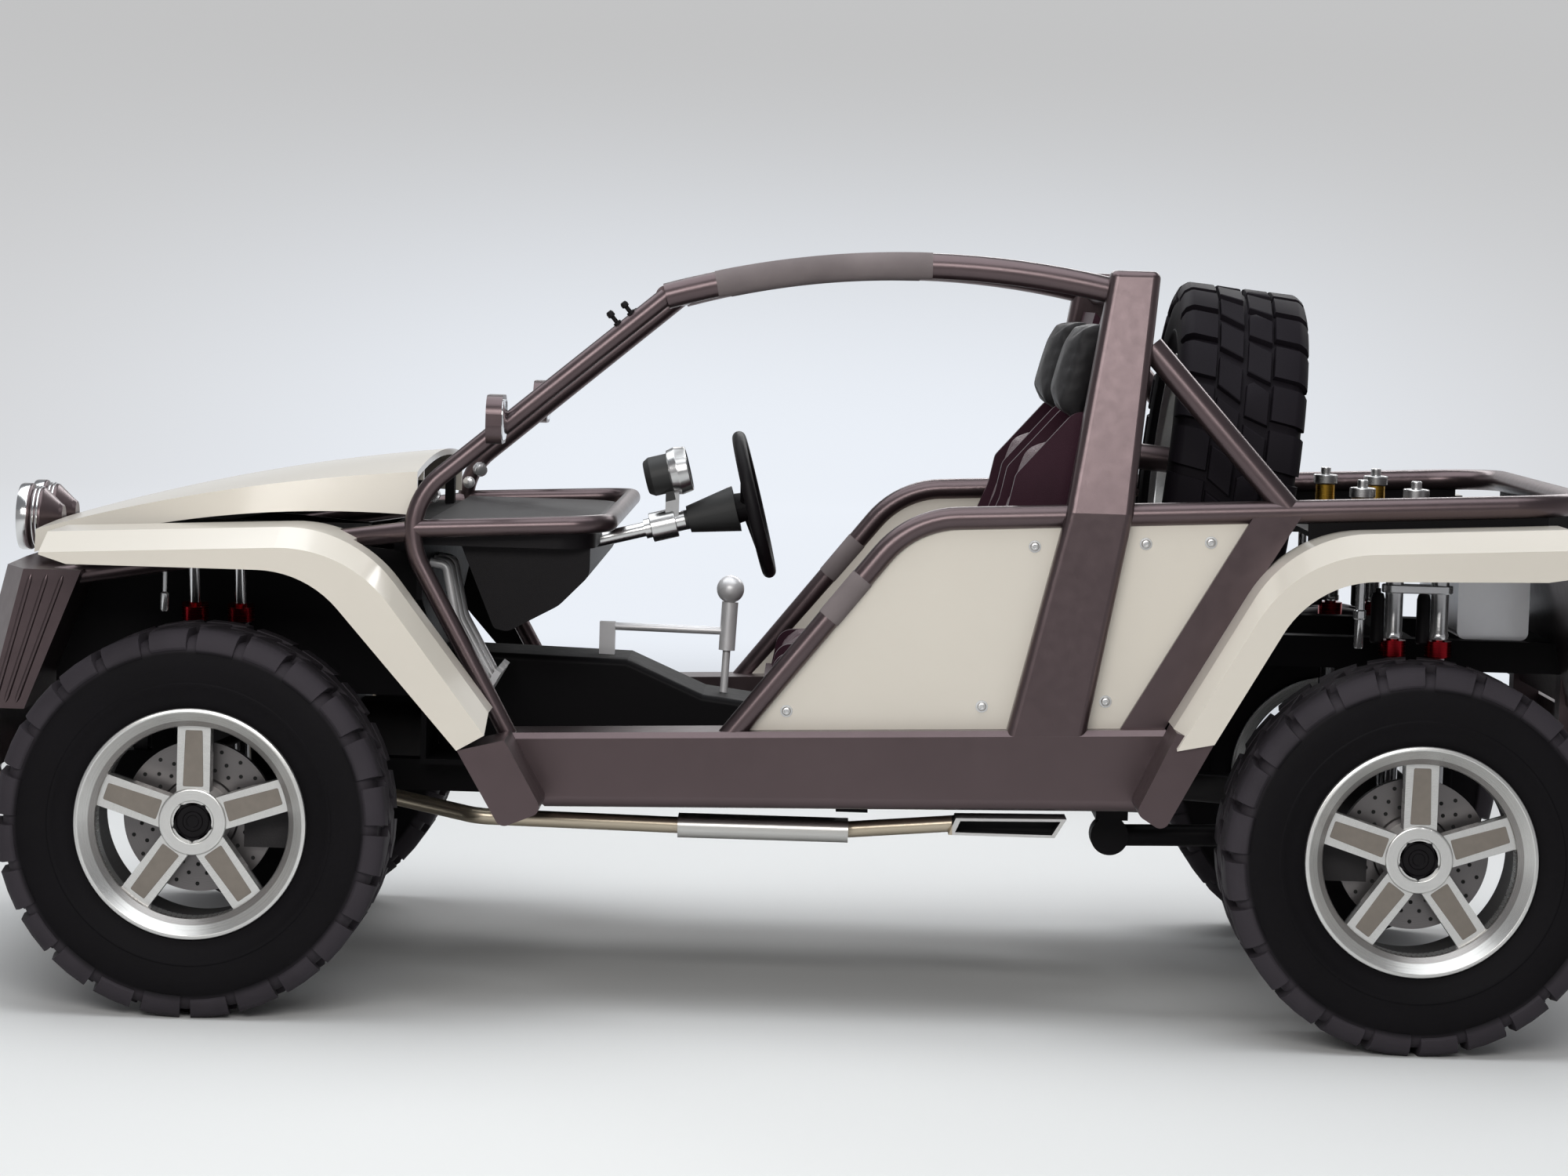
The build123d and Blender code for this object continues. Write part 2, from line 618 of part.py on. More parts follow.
RAIL_FOOT_X = 141.0
RAIL_KNEE_X = -230.0
RAIL_TAIL_X = -1690.0
RAIL_KNEE_BEND = 220.0
RAIL_TAIL_BEND = 160.0
rail_foot_y = SILL_OUTER - 35
with BuildPart() as side_rails:
    tube(
        (
            (RAIL_FOOT_X + 24, rail_foot_y, sill_top(RAIL_FOOT_X) - 30),
            (RAIL_KNEE_X, RAIL_HALF_WIDTH + 10, belt_height(RAIL_KNEE_X)),
            (RAIL_TAIL_X, RAIL_HALF_WIDTH, belt_height(RAIL_TAIL_X)),
            (RAIL_TAIL_X, -RAIL_HALF_WIDTH, belt_height(RAIL_TAIL_X)),
            (RAIL_KNEE_X, -RAIL_HALF_WIDTH - 10, belt_height(RAIL_KNEE_X)),
            (RAIL_FOOT_X + 24, -rail_foot_y, sill_top(RAIL_FOOT_X) - 30),
        ),
        (RAIL_KNEE_BEND, RAIL_TAIL_BEND, RAIL_TAIL_BEND, RAIL_KNEE_BEND),
        RAIL_TUBE,
    )
    add(sills.part, mode=Mode.SUBTRACT)
    add(main_hoop.part, mode=Mode.SUBTRACT)
finish(side_rails.part, "side_rails")

# Braces behind the hoop: a round stay to the rail and a box diagonal from sill to rail

with BuildPart() as rear_braces:
    tube(((-735, 598, HOOP_TOP_HEIGHT - 162), (-1040, RAIL_HALF_WIDTH, belt_height(-1040) + 4)),
         None, STAY_TUBE)
    extrude(
        plain_face(
            side_plane(RAIL_HALF_WIDTH + 28),
            (
                (-690, sill_top(-690) - 5),
                (-785, sill_top(-785) - 5),
                (-1072, belt_height(-1072)),
                (-968, belt_height(-968)),
            ),
        ),
        amount=56,
    )
    mirror(about=Plane.XZ)
    add(sills.part, mode=Mode.SUBTRACT)
    add(main_hoop.part, mode=Mode.SUBTRACT)
    add(side_rails.part, mode=Mode.SUBTRACT)
finish(rear_braces.part, "rear_braces")

# Side panels set between sill, rail, hoop and diagonal

SIDE_PANEL_THICKNESS = 10.0
with BuildPart() as side_panels:
    extrude(
        plain_face(
            side_plane(RAIL_HALF_WIDTH + 12),
            (
                (RAIL_FOOT_X, sill_top(RAIL_FOOT_X) - 4),
                (-480, sill_top(-480) - 4),
                (-600, belt_height(-600)),
                (RAIL_KNEE_X, belt_height(RAIL_KNEE_X)),
            ),
        ),
        amount=SIDE_PANEL_THICKNESS,
    )
    extrude(
        plain_face(
            side_plane(RAIL_HALF_WIDTH + 12),
            (
                (-590, sill_top(-590) - 4),
                (-735, sill_top(-735) - 4),
                (-1010, belt_height(-1010)),
                (-665, belt_height(-665)),
            ),
        ),
        amount=SIDE_PANEL_THICKNESS,
    )
    mirror(about=Plane.XZ)
    for neighbour in (sills, main_hoop, side_rails, rear_braces):
        add(neighbour.part, mode=Mode.SUBTRACT)
finish(side_panels.part, "side_panels")

# Upper front rails, which carry the fenders and the damper tops

NOSE_TOP = 925.0
FRONT_RAIL_Y = 575.0
FRONT_RAIL_BEND_X = 1085.0
FRONT_RAIL_BEND_HEIGHT = 996.0
FRONT_RAIL_DROP = 0.167


def front_rail_height(x):
    """Height of the upper front rail's centre ahead of its bend."""
    return FRONT_RAIL_BEND_HEIGHT - FRONT_RAIL_DROP * (x - FRONT_RAIL_BEND_X)


front_rail_end = nose_x - 210
with BuildPart() as front_rails:
    tube(
        (
            (852, RAIL_HALF_WIDTH - 6, belt_height(852) - 6),
            (FRONT_RAIL_BEND_X, FRONT_RAIL_Y, FRONT_RAIL_BEND_HEIGHT),
            (front_rail_end, FRONT_RAIL_Y, front_rail_height(front_rail_end)),
        ),
        (300,),
        FRONT_TUBE,
    )
    mirror(about=Plane.XZ)
    add(pillar_frame.part, mode=Mode.SUBTRACT)
    add(dash_hoop.part, mode=Mode.SUBTRACT)
finish(front_rails.part, "front_rails")

# Fenders: a flat-topped flare whose outer edge is bevelled, with a deep lip round the arch

# distance from the axle along x, height; the lower row is the arch lip
FRONT_TOP = ((328.0, 1018.0), (-319.0, 1050.0), (-618.0, 660.0))
FRONT_LIP = ((328.0, 975.0), (270.0, 957.0), (-234.0, 957.0), (-560.0, 588.0))
REAR_TOP = ((-300.0, 1120.0), (284.0, 1090.0), (524.0, 672.0))
REAR_LIP = ((-300.0, 1023.0), (-240.0, 1013.0), (247.0, 1000.0), (446.0, 650.0))
FENDER_BEND = 290.0
DECK_WALL = 12.0
LIP_BEND = 230.0


def arch_face(axle_x, top, lip, drop, y):
    """Side-view face of a flare at y, its upper edge lowered by drop."""
    rows = []
    for place, (reach, height) in enumerate(top):
        rows.append((axle_x + reach, height - drop, FENDER_BEND if place == 1 else 0))
    for place, (reach, height) in enumerate(reversed(lip)):
        rows.append((axle_x + reach, height, LIP_BEND if place == 1 else 0))
    return rounded_face(side_plane(y), rows)


def add_flare(axle_x, top, lip, inner):
    """Left flare: solid outside form less the hollow over the tyre."""
    deep_lip = tuple((reach, height - 400) for reach, height in lip)
    hollow_top = FENDER_SHEET
    hollow_edge = FENDER_BEVEL_DROP + FENDER_SHEET
    lip_inside = FENDER_OUTER - FENDER_SHEET
    extrude(arch_face(axle_x, top, lip, 0, FENDER_BEVEL_START), amount=FENDER_BEVEL_START - inner)
    loft((arch_face(axle_x, top, lip, 0, FENDER_BEVEL_START),
          arch_face(axle_x, top, lip, FENDER_BEVEL_DROP, FENDER_OUTER)), ruled=True)
    extrude(arch_face(axle_x, top, deep_lip, hollow_top, FENDER_BEVEL_START),
            amount=FENDER_BEVEL_START - inner + 1, mode=Mode.SUBTRACT)
    loft((arch_face(axle_x, top, deep_lip, hollow_top, FENDER_BEVEL_START),
          arch_face(axle_x, top, deep_lip, hollow_edge, lip_inside)), ruled=True, mode=Mode.SUBTRACT)


with BuildPart() as front_fenders:
    add_flare(front_axle_x, FRONT_TOP, FRONT_LIP, FENDER_INNER)
    slab((front_axle_x - 700, FENDER_INNER - 10, 500), (front_axle_x - 310, pillar_foot_y + 30, 1100),
         mode=Mode.SUBTRACT)
    extrude(
        plain_face(
            side_plane(FENDER_INNER + 18),
            (
                (front_axle_x + 310, 1000),
                (front_axle_x - 150, 1030),
                (front_axle_x - 150, front_rail_height(front_axle_x - 150)),
                (front_axle_x + 310, front_rail_height(front_axle_x + 310)),
            ),
        ),
        amount=18,
    )
    mirror(about=Plane.XZ)
    add(front_rails.part, mode=Mode.SUBTRACT)
finish(front_fenders.part, "front_fenders")

with BuildPart() as rear_fenders:
    add_flare(rear_axle_x, REAR_TOP, REAR_LIP, RAIL_HALF_WIDTH + DECK_WALL / 2)
    mirror(about=Plane.XZ)
    for neighbour in (side_rails, rear_braces, sills):
        add(neighbour.part, mode=Mode.SUBTRACT)
finish(rear_fenders.part, "rear_fenders")

# Dark lower ends of the flares, bolted to the ends of the sills

with BuildPart() as flare_tips:
    extrude(
        rounded_face(
            side_plane(FENDER_OUTER - 12),
            (
                (front_axle_x - 560, 587, 0),
                (front_axle_x - 655, 425, 20),
                (front_axle_x - 745, 462, 20),
                (front_axle_x - 660, 612, 0),
            ),
        ),
        amount=FENDER_OUTER - 12 - TIP_INNER,
    )
    extrude(
        rounded_face(
            side_plane(FENDER_OUTER - 12),
            (
                (rear_axle_x + 446, 649, 0),
                (rear_axle_x + 524, 671, 0),
                (rear_axle_x + 605, 497, 20),
                (rear_axle_x + 545, 460, 20),
            ),
        ),
        amount=FENDER_OUTER - 12 - TIP_INNER,
    )
    mirror(about=Plane.XZ)
    add(front_fenders.part, mode=Mode.SUBTRACT)
    add(rear_fenders.part, mode=Mode.SUBTRACT)
    add(sills.part, mode=Mode.SUBTRACT)
finish(flare_tips.part, "flare_tips")

# Nose: a slanted fascia that is bowed in plan, with a grille set in its opening

NOSE_BOTTOM = 620.0
NOSE_HALF_WIDTH = 640.0
GRILLE_HALF_WIDTH = 330.0
GRILLE_LOW = 690.0
GRILLE_HIGH = 865.0
NOSE_BOTTOM_THICKNESS = 80.0
NOSE_TOP_THICKNESS = 125.0
NOSE_BOW = 70.0


def nose_outline(front, thickness, height):
    """Plan outline of the nose at one height, its front face bowed between the corner posts."""
    post = front - NOSE_BOW
    with BuildSketch(Plane.XY.offset(height)) as sketch:
        with BuildLine():
            Polyline((post, NOSE_HALF_WIDTH), (front - 12, NOSE_HALF_WIDTH - 120),
                     (front, 250), (front, -250),
                     (front - 12, -NOSE_HALF_WIDTH + 120), (post, -NOSE_HALF_WIDTH),
                     (post - thickness, -NOSE_HALF_WIDTH), (post - thickness, NOSE_HALF_WIDTH), close=True)
        make_face()
    return sketch.sketch


NOSE_BOTTOM_X = nose_x - 6
NOSE_TOP_X = nose_x - 80
with BuildPart() as nose_panel:
    loft((nose_outline(NOSE_BOTTOM_X, NOSE_BOTTOM_THICKNESS, NOSE_BOTTOM),
          nose_outline(NOSE_TOP_X, NOSE_TOP_THICKNESS, NOSE_TOP)), ruled=True)
    slab((nose_x - 420, -GRILLE_HALF_WIDTH, GRILLE_LOW), (nose_x + 20, GRILLE_HALF_WIDTH, GRILLE_HIGH),
         mode=Mode.SUBTRACT)
    add(front_rails.part, mode=Mode.SUBTRACT)
finish(nose_panel.part, "nose_panel")


def nose_front(height):
    """Foremost x of the slanted nose at a height."""
    return NOSE_BOTTOM_X + (NOSE_TOP_X - NOSE_BOTTOM_X) * (height - NOSE_BOTTOM) / (NOSE_TOP - NOSE_BOTTOM)


GRILLE_BAR = 14.0
GRILLE_ROWS = 5
with BuildPart() as grille:
    row_pitch = (GRILLE_HIGH - GRILLE_LOW) / GRILLE_ROWS
    for row in range(GRILLE_ROWS):
        row_z = GRILLE_LOW + (row + 0.5) * row_pitch
        row_x = nose_front(row_z) - 60
        slab((row_x - 30, -GRILLE_HALF_WIDTH, row_z - GRILLE_BAR / 2),
             (row_x, GRILLE_HALF_WIDTH, row_z + GRILLE_BAR / 2))
    for post_y in (-200.0, 0.0, 200.0):
        extrude(
            plain_face(
                side_plane(post_y + 6),
                (
                    (nose_front(GRILLE_LOW) - 72, GRILLE_LOW),
                    (nose_front(GRILLE_LOW) - 96, GRILLE_LOW),
                    (nose_front(GRILLE_HIGH) - 96, GRILLE_HIGH),
                    (nose_front(GRILLE_HIGH) - 72, GRILLE_HIGH),
                ),
            ),
            amount=12,
        )
finish(grille.part, "grille")

# Bumpers bolted to the ends of the ladder frame, each with a pair of tow eyes below

TOW_EYE_Y = 300.0
TOW_EYE_THICKNESS = 20.0
TOW_EYE_HALF_LENGTH = 26.0
TOW_PIN_RADIUS = 16.0
TOW_EYE_SETBACK = 54.0


def add_tow_eyes(x, pin_height, top):
    """Two plates below a bumper, each with a cross hole for a shackle pin."""
    for side in (-1, 1):
        outer = side * TOW_EYE_Y + TOW_EYE_THICKNESS / 2
        slab((x - TOW_EYE_HALF_LENGTH, outer - TOW_EYE_THICKNESS, pin_height - TOW_EYE_HALF_LENGTH),
             (x + TOW_EYE_HALF_LENGTH, outer, top))
        drum(x, outer, pin_height, TOW_PIN_RADIUS, TOW_EYE_THICKNESS, mode=Mode.SUBTRACT)


FRONT_BUMPER_LOW = 490.0
FRONT_EYE_HEIGHT = 448.0
with BuildPart() as front_bumper:
    with BuildSketch(Plane.XY.offset(FRONT_BUMPER_LOW)) as bumper_plan:
        with BuildLine():
            Polyline((nose_x, 460), (nose_x - 50, 650), (nose_x - 95, 650), (nose_x - 95, -650),
                     (nose_x - 50, -650), (nose_x, -460), close=True)
        make_face()
    extrude(bumper_plan.sketch, amount=NOSE_BOTTOM - FRONT_BUMPER_LOW)
    chamfer(front_bumper.faces().sort_by(Axis.Z)[0].edges().filter_by(Axis.Y).sort_by(Axis.X)[-1], 30)
    for side in (-1, 1):
        slab((ladder_front, side * LADDER_HALF_WIDTH - 30, ladder_bottom),
             (nose_x - 94, side * LADDER_HALF_WIDTH + 30, ladder_top + 40))
    add_tow_eyes(nose_x - TOW_EYE_SETBACK, FRONT_EYE_HEIGHT, FRONT_BUMPER_LOW + 10)
finish(front_bumper.part, "front_bumper")

REAR_EYE_HEIGHT = 518.0
REAR_BUMPER_LOW = 560.0
REAR_BUMPER_HIGH = 670.0
with BuildPart() as rear_bumper:
    with BuildSketch(Plane.XY.offset(REAR_BUMPER_LOW)) as rear_plan:
        with BuildLine():
            Polyline((tail_x, 480), (tail_x + 40, 640), (tail_x + 80, 640), (tail_x + 80, -640),
                     (tail_x + 40, -640), (tail_x, -480), close=True)
        make_face()
    extrude(rear_plan.sketch, amount=REAR_BUMPER_HIGH - REAR_BUMPER_LOW)
    for side in (-1, 1):
        slab((tail_x + 79, side * LADDER_HALF_WIDTH - 30, REAR_BUMPER_LOW),
             (ladder_rear, side * LADDER_HALF_WIDTH + 30, rear_ladder_top))
    add_tow_eyes(tail_x + TOW_EYE_SETBACK, REAR_EYE_HEIGHT, REAR_BUMPER_LOW + 10)
finish(rear_bumper.part, "rear_bumper")

# Round lamps: a pair on the nose and a pair in the tail panel

LAMP_RADIUS = 76.0
LAMP_X = 1812.0
LAMP_HEIGHT = NOSE_TOP + LAMP_RADIUS + 4
LAMP_HALF_PITCH = 84.0
LENS_RADIUS = 66.0
LAMP_BODY = (
    (0, -96, 0), (0, -10, 0), (LENS_RADIUS + 1, -10, 0), (LENS_RADIUS + 1, 0, 0), (LAMP_RADIUS, -3, 0),
    (LAMP_RADIUS, -26, 4), (LAMP_RADIUS - 8, -30, 2), (LAMP_RADIUS - 8, -52, 8), (34, -88, 8), (28, -96, 2),
)
LENS_BODY = ((0, -9.7, 0), (LENS_RADIUS, -9.7, 0), (LENS_RADIUS, -2, 0), (0, 8, 0))


def lamp_plane(side):
    return Plane((LAMP_X - 8, side * LAMP_HALF_PITCH, LAMP_HEIGHT), x_dir=(0, 1, 0), z_dir=(1, 0, 0))


with BuildPart() as head_lamps:
    for side in (-1, 1):
        turn(lamp_plane(side), LAMP_BODY)
        slab((NOSE_TOP_X - 52, side * LAMP_HALF_PITCH - 26, NOSE_TOP),
             (NOSE_TOP_X - 4, side * LAMP_HALF_PITCH + 26, NOSE_TOP + 26))
finish(head_lamps.part, "head_lamps")

TAIL_PANEL_LOW = 700.0
TAIL_LAMP_HEIGHT = 900.0
TAIL_LAMP_Y = 520.0
DECK_HEIGHT = 1045.0
DECK_THICKNESS = 12.0
DECK_FRONT_X = -1160.0
DECK_REAR_X = -1640.0
DECK_WALL_FRONT_X = -1085.0
DECK_WALL_REAR_X = -1600.0
tail_slant = degrees(atan2(70, DECK_HEIGHT - TAIL_PANEL_LOW))
tail_lamp_x = DECK_REAR_X - 60 - 70 * (DECK_HEIGHT - TAIL_LAMP_HEIGHT) / (DECK_HEIGHT - TAIL_PANEL_LOW)


def tail_lamp_plane(side):
    slope = radians(tail_slant)
    return Plane((tail_lamp_x, side * TAIL_LAMP_Y, TAIL_LAMP_HEIGHT), x_dir=(0, 1, 0),
                 z_dir=(-cos(slope), 0, sin(slope)))


with BuildPart() as lamp_lenses:
    for side in (-1, 1):
        turn(lamp_plane(side), LENS_BODY)
        turn(tail_lamp_plane(side), ((0, SEAT_GAP, 0), (48, SEAT_GAP, 0), (48, 10, 3), (36, 18, 4), (0, 18, 0)))
finish(lamp_lenses.part, "lamp_lenses")

# Rear deck tray between the rails with racks for the reservoirs, tail panel and tank

RESERVOIR_XS = (-1240.0, -1360.0)
RESERVOIR_Y = 330.0
RACK_HALF_WIDTH = 40.0
RACK_HEIGHT = 6.0
deck_top = DECK_HEIGHT + DECK_THICKNESS
rail_tail_straight = RAIL_HALF_WIDTH - RAIL_TAIL_BEND
with BuildPart() as rear_deck:
    slab((DECK_REAR_X - 60, -RAIL_HALF_WIDTH - DECK_WALL / 2, DECK_HEIGHT),
         (DECK_FRONT_X, RAIL_HALF_WIDTH + DECK_WALL / 2, deck_top))
    slab((RAIL_TAIL_X - DECK_WALL / 2, -rail_tail_straight, DECK_HEIGHT),
         (RAIL_TAIL_X + DECK_WALL / 2, rail_tail_straight, belt_height(RAIL_TAIL_X) - 2))
    for side in (-1, 1):
        slab((DECK_WALL_REAR_X, side * RAIL_HALF_WIDTH - DECK_WALL / 2, DECK_HEIGHT),
             (DECK_WALL_FRONT_X, side * RAIL_HALF_WIDTH + DECK_WALL / 2, belt_height(DECK_FRONT_X) - 2))
        slab((RESERVOIR_XS[-1] - RACK_HALF_WIDTH, side * RESERVOIR_Y - RACK_HALF_WIDTH, DECK_HEIGHT),
             (DECK_FRONT_X, side * RESERVOIR_Y + RACK_HALF_WIDTH, deck_top + RACK_HEIGHT))
    add(side_rails.part, mode=Mode.SUBTRACT)
finish(rear_deck.part, "rear_deck")

with BuildPart() as tail_panel:
    extrude(
        plain_face(
            side_plane(NOSE_HALF_WIDTH),
            (
                (DECK_REAR_X, DECK_HEIGHT),
                (DECK_REAR_X - 60, DECK_HEIGHT),
                (DECK_REAR_X - 130, TAIL_PANEL_LOW),
                (DECK_REAR_X - 75, TAIL_PANEL_LOW),
            ),
        ),
        amount=2 * NOSE_HALF_WIDTH,
    )
    for neighbour in (chassis_rails, rear_bumper, rear_fenders):
        add(neighbour.part, mode=Mode.SUBTRACT)
finish(tail_panel.part, "tail_panel")

with BuildPart() as fuel_tank:
    slab((-1630, -290, rear_ladder_top), (-1470, 290, 990))
    fillet(fuel_tank.edges().filter_by(Axis.Y), 18)
finish(fuel_tank.part, "fuel_tank")

# radius, height above the rack, corner radius
RESERVOIR_SECTION = (
    (0, 0, 0), (32, 0, 0), (32, 8, 2), (23, 10, 0), (23, 88, 0), (29, 92, 0), (29, 112, 3),
    (12, 114, 0), (12, 130, 3), (0, 130, 0),
)
with BuildPart() as reservoirs:
    for reservoir_x in RESERVOIR_XS:
        foot = (reservoir_x, RESERVOIR_Y, deck_top + RACK_HEIGHT)
        turn(Plane(foot, x_dir=(1, 0, 0), z_dir=(0, 0, 1)), RESERVOIR_SECTION)
    mirror(about=Plane.XZ)
finish(reservoirs.part, "reservoirs")

# Hood: a crowned shell hinged at the cowl

# x, half width, height of the skirt's foot, of the side edge and of the crown
HOOD_SECTIONS = (
    (850.0, 558.0, 1062.0, 1157.0, 1182.0),
    (1290.0, 548.0, 1046.0, 1100.0, 1114.0),
    (1700.0, 470.0, 950.0, 1000.0, 1008.0),
)


def hood_face(x, half_width, foot, edge, crown):
    with BuildSketch(cross_plane(x)) as sketch:
        with BuildLine():
            side_line = Line((half_width, foot), (half_width - 10, edge))
            top_arc = ThreePointArc(side_line @ 1, (0, crown), (10 - half_width, edge))
            other_side = Line(top_arc @ 1, (-half_width, foot))
            Line(other_side @ 1, side_line @ 0)
        make_face()
    return sketch.sketch


with BuildPart() as hood:
    loft([hood_face(*row) for row in HOOD_SECTIONS])
    hollow = []
    for (x, half_width, foot, edge, crown), shift in zip(HOOD_SECTIONS, (-1, 0, -HOOD_SHEET)):
        inner_edge = edge - HOOD_SHEET
        inner_crown = crown - HOOD_SHEET
        hollow.append(hood_face(x + shift, half_width - HOOD_SHEET, foot - 12, inner_edge, inner_crown))
    loft(hollow, mode=Mode.SUBTRACT)
    for side in (-1, 1):
        lug_outer = side * HINGE_HALF_SPAN + HINGE_LEAF / 2
        slab((HOOD_HINGE_X - 10, lug_outer - HINGE_LEAF, HOOD_HINGE_HEIGHT - 12),
             (HOOD_HINGE_X + 12, lug_outer, HOOD_SECTIONS[0][3] + 8))
        pin_hole = HINGE_PIN + HINGE_PIN_GAP
        drum(HOOD_HINGE_X, lug_outer, HOOD_HINGE_HEIGHT, pin_hole, HINGE_LEAF, mode=Mode.SUBTRACT)
finish(hood.part, "hood")

with BuildPart() as cowl:
    slab((FIREWALL_X + PANEL_THICKNESS, -500, FIREWALL_TOP - 60),
         (FIREWALL_X + PANEL_THICKNESS + 60, 500, FIREWALL_TOP))
    for side in (-1, 1):
        for ear_side in (-1, 1):
            ear_y = side * HINGE_HALF_SPAN + ear_side * (HINGE_LEAF + 1)
            slab((HOOD_HINGE_X - 11, ear_y - HINGE_LEAF / 2, FIREWALL_TOP - 20),
                 (HOOD_HINGE_X + 11, ear_y + HINGE_LEAF / 2, HOOD_HINGE_HEIGHT + 11))
        pin_end = side * HINGE_HALF_SPAN + 1.5 * HINGE_LEAF
        drum(HOOD_HINGE_X, pin_end, HOOD_HINGE_HEIGHT, HINGE_PIN, 3 * HINGE_LEAF)
finish(cowl.part, "cowl")

# Inner wings: upright panels between the engine and the front wheels

INNER_WING_Y = 400.0
INNER_WING_FRONT = 1660.0
INNER_WING_LOW = UPPER_PIVOT_HEIGHT + 50
inner_wing_rear = FIREWALL_X + PANEL_THICKNESS
# x, height of the upper edge
INNER_WING_TOP = ((inner_wing_rear, 968.0), (1290.0, 1005.0), (INNER_WING_FRONT, 920.0))
with BuildPart() as inner_wings:
    extrude(
        plain_face(
            side_plane(INNER_WING_Y),
            INNER_WING_TOP + ((INNER_WING_FRONT, INNER_WING_LOW), (inner_wing_rear, INNER_WING_LOW)),
        ),
        amount=PANEL_THICKNESS,
    )
    mirror(about=Plane.XZ)
    add(nose_panel.part, mode=Mode.SUBTRACT)
finish(inner_wings.part, "inner_wings")

# Engine, gearbox and shafts

FRONT_DIFF_RADIUS = 36.0
sump_bottom = axle_z + FRONT_DIFF_RADIUS + SEAT_GAP
with BuildPart() as engine:
    extrude(
        plain_face(
            cross_plane(front_axle_x - 260),
            (
                (-120, sump_bottom), (120, sump_bottom), (215, 560), (235, 780), (225, 900), (110, 930),
                (110, 1000), (-110, 1000), (-110, 930), (-225, 900), (-235, 780), (-215, 560),
            ),
        ),
        amount=480,
    )
    for foot_x in (front_axle_x - 240, front_axle_x + 190):
        slab((foot_x, -LADDER_HALF_WIDTH, ladder_top), (foot_x + 30, LADDER_HALF_WIDTH, ladder_top + 30))
finish(engine.part, "engine")

GEARBOX_REAR_X = 240.0
PROP_RADIUS = 32.0
DIFF_RADIUS = 118.0
DIFF_HALF_WIDTH = 70.0
GEARBOX_SECTION = ((-95, GEARBOX_BOTTOM, 20), (95, GEARBOX_BOTTOM, 20), (95, 600, 40), (-95, 600, 40))
PROP_HEIGHT = 520.0
with BuildPart() as driveline:
    extrude(
        rounded_face(cross_plane(GEARBOX_REAR_X), GEARBOX_SECTION),
        amount=front_axle_x - 260 - GEARBOX_REAR_X,
    )
    tube(((GEARBOX_REAR_X, 0, PROP_HEIGHT), (rear_axle_x + DIFF_RADIUS, 0, axle_z + 20)), None, PROP_RADIUS)
    tube(((front_axle_x, -150, axle_z), (front_axle_x, 150, axle_z)), None, FRONT_DIFF_RADIUS)
    tube(((front_axle_x, -kingpin_y + 60, axle_z), (front_axle_x, kingpin_y - 60, axle_z)), None, 14)
    for side in (-1, 1):
        joint_line = ((front_axle_x, side * (kingpin_y - 120), axle_z),
                      (front_axle_x, side * (kingpin_y - 60), axle_z))
        tube(joint_line, None, 34)
finish(driveline.part, "driveline")

# Rear axle: beam with differential, stub axles, calipers and damper perches

PERCH_Y = 540.0
PERCH_HEIGHT = axle_z + 52
AXLE_TUBE = 38.0
rear_hub = Plane((rear_axle_x, 0, axle_z), x_dir=(1, 0, 0), z_dir=(0, 1, 0))
with BuildPart() as rear_axle:
    add_caliper(rear_axle_x, 1)
    slab((rear_axle_x - 120, PERCH_Y - 26, axle_z + 22), (rear_axle_x + 80, PERCH_Y + 26, PERCH_HEIGHT))
    drum(rear_axle_x, upright_face, axle_z, 58, 16)
    mirror(about=Plane.XZ)
    drum(rear_axle_x, upright_face, axle_z, AXLE_TUBE, 2 * upright_face)
    drum(rear_axle_x, wheel_y + SPINDLE_END, axle_z, SPINDLE_RADIUS, 2 * (wheel_y + SPINDLE_END))
    turn(rear_hub, ((0, -190, 0), (AXLE_TUBE, -190, 0), (DIFF_RADIUS, -DIFF_HALF_WIDTH, 50),
                    (DIFF_RADIUS, DIFF_HALF_WIDTH, 50), (AXLE_TUBE, 190, 0), (0, 190, 0)))
    add(driveline.part, mode=Mode.SUBTRACT)
finish(rear_axle.part, "rear_axle")

LINK_Y = 480.0
LINK_BUSH = 42.0
link_z = ladder_top - BEAM_HEIGHT - LINK_BUSH - SEAT_GAP
with BuildPart() as rear_links:
    drum(BEAM_XS[2], LINK_Y + 30, link_z, LINK_BUSH, 60)
    tube(((BEAM_XS[2] - 20, LINK_Y, link_z), (rear_axle_x, LINK_Y, axle_z)), None, 24)
    mirror(about=Plane.XZ)
    add(rear_axle.part, mode=Mode.SUBTRACT)
finish(rear_links.part, "rear_links")

# Front wishbones and the paired dampers at each wheel

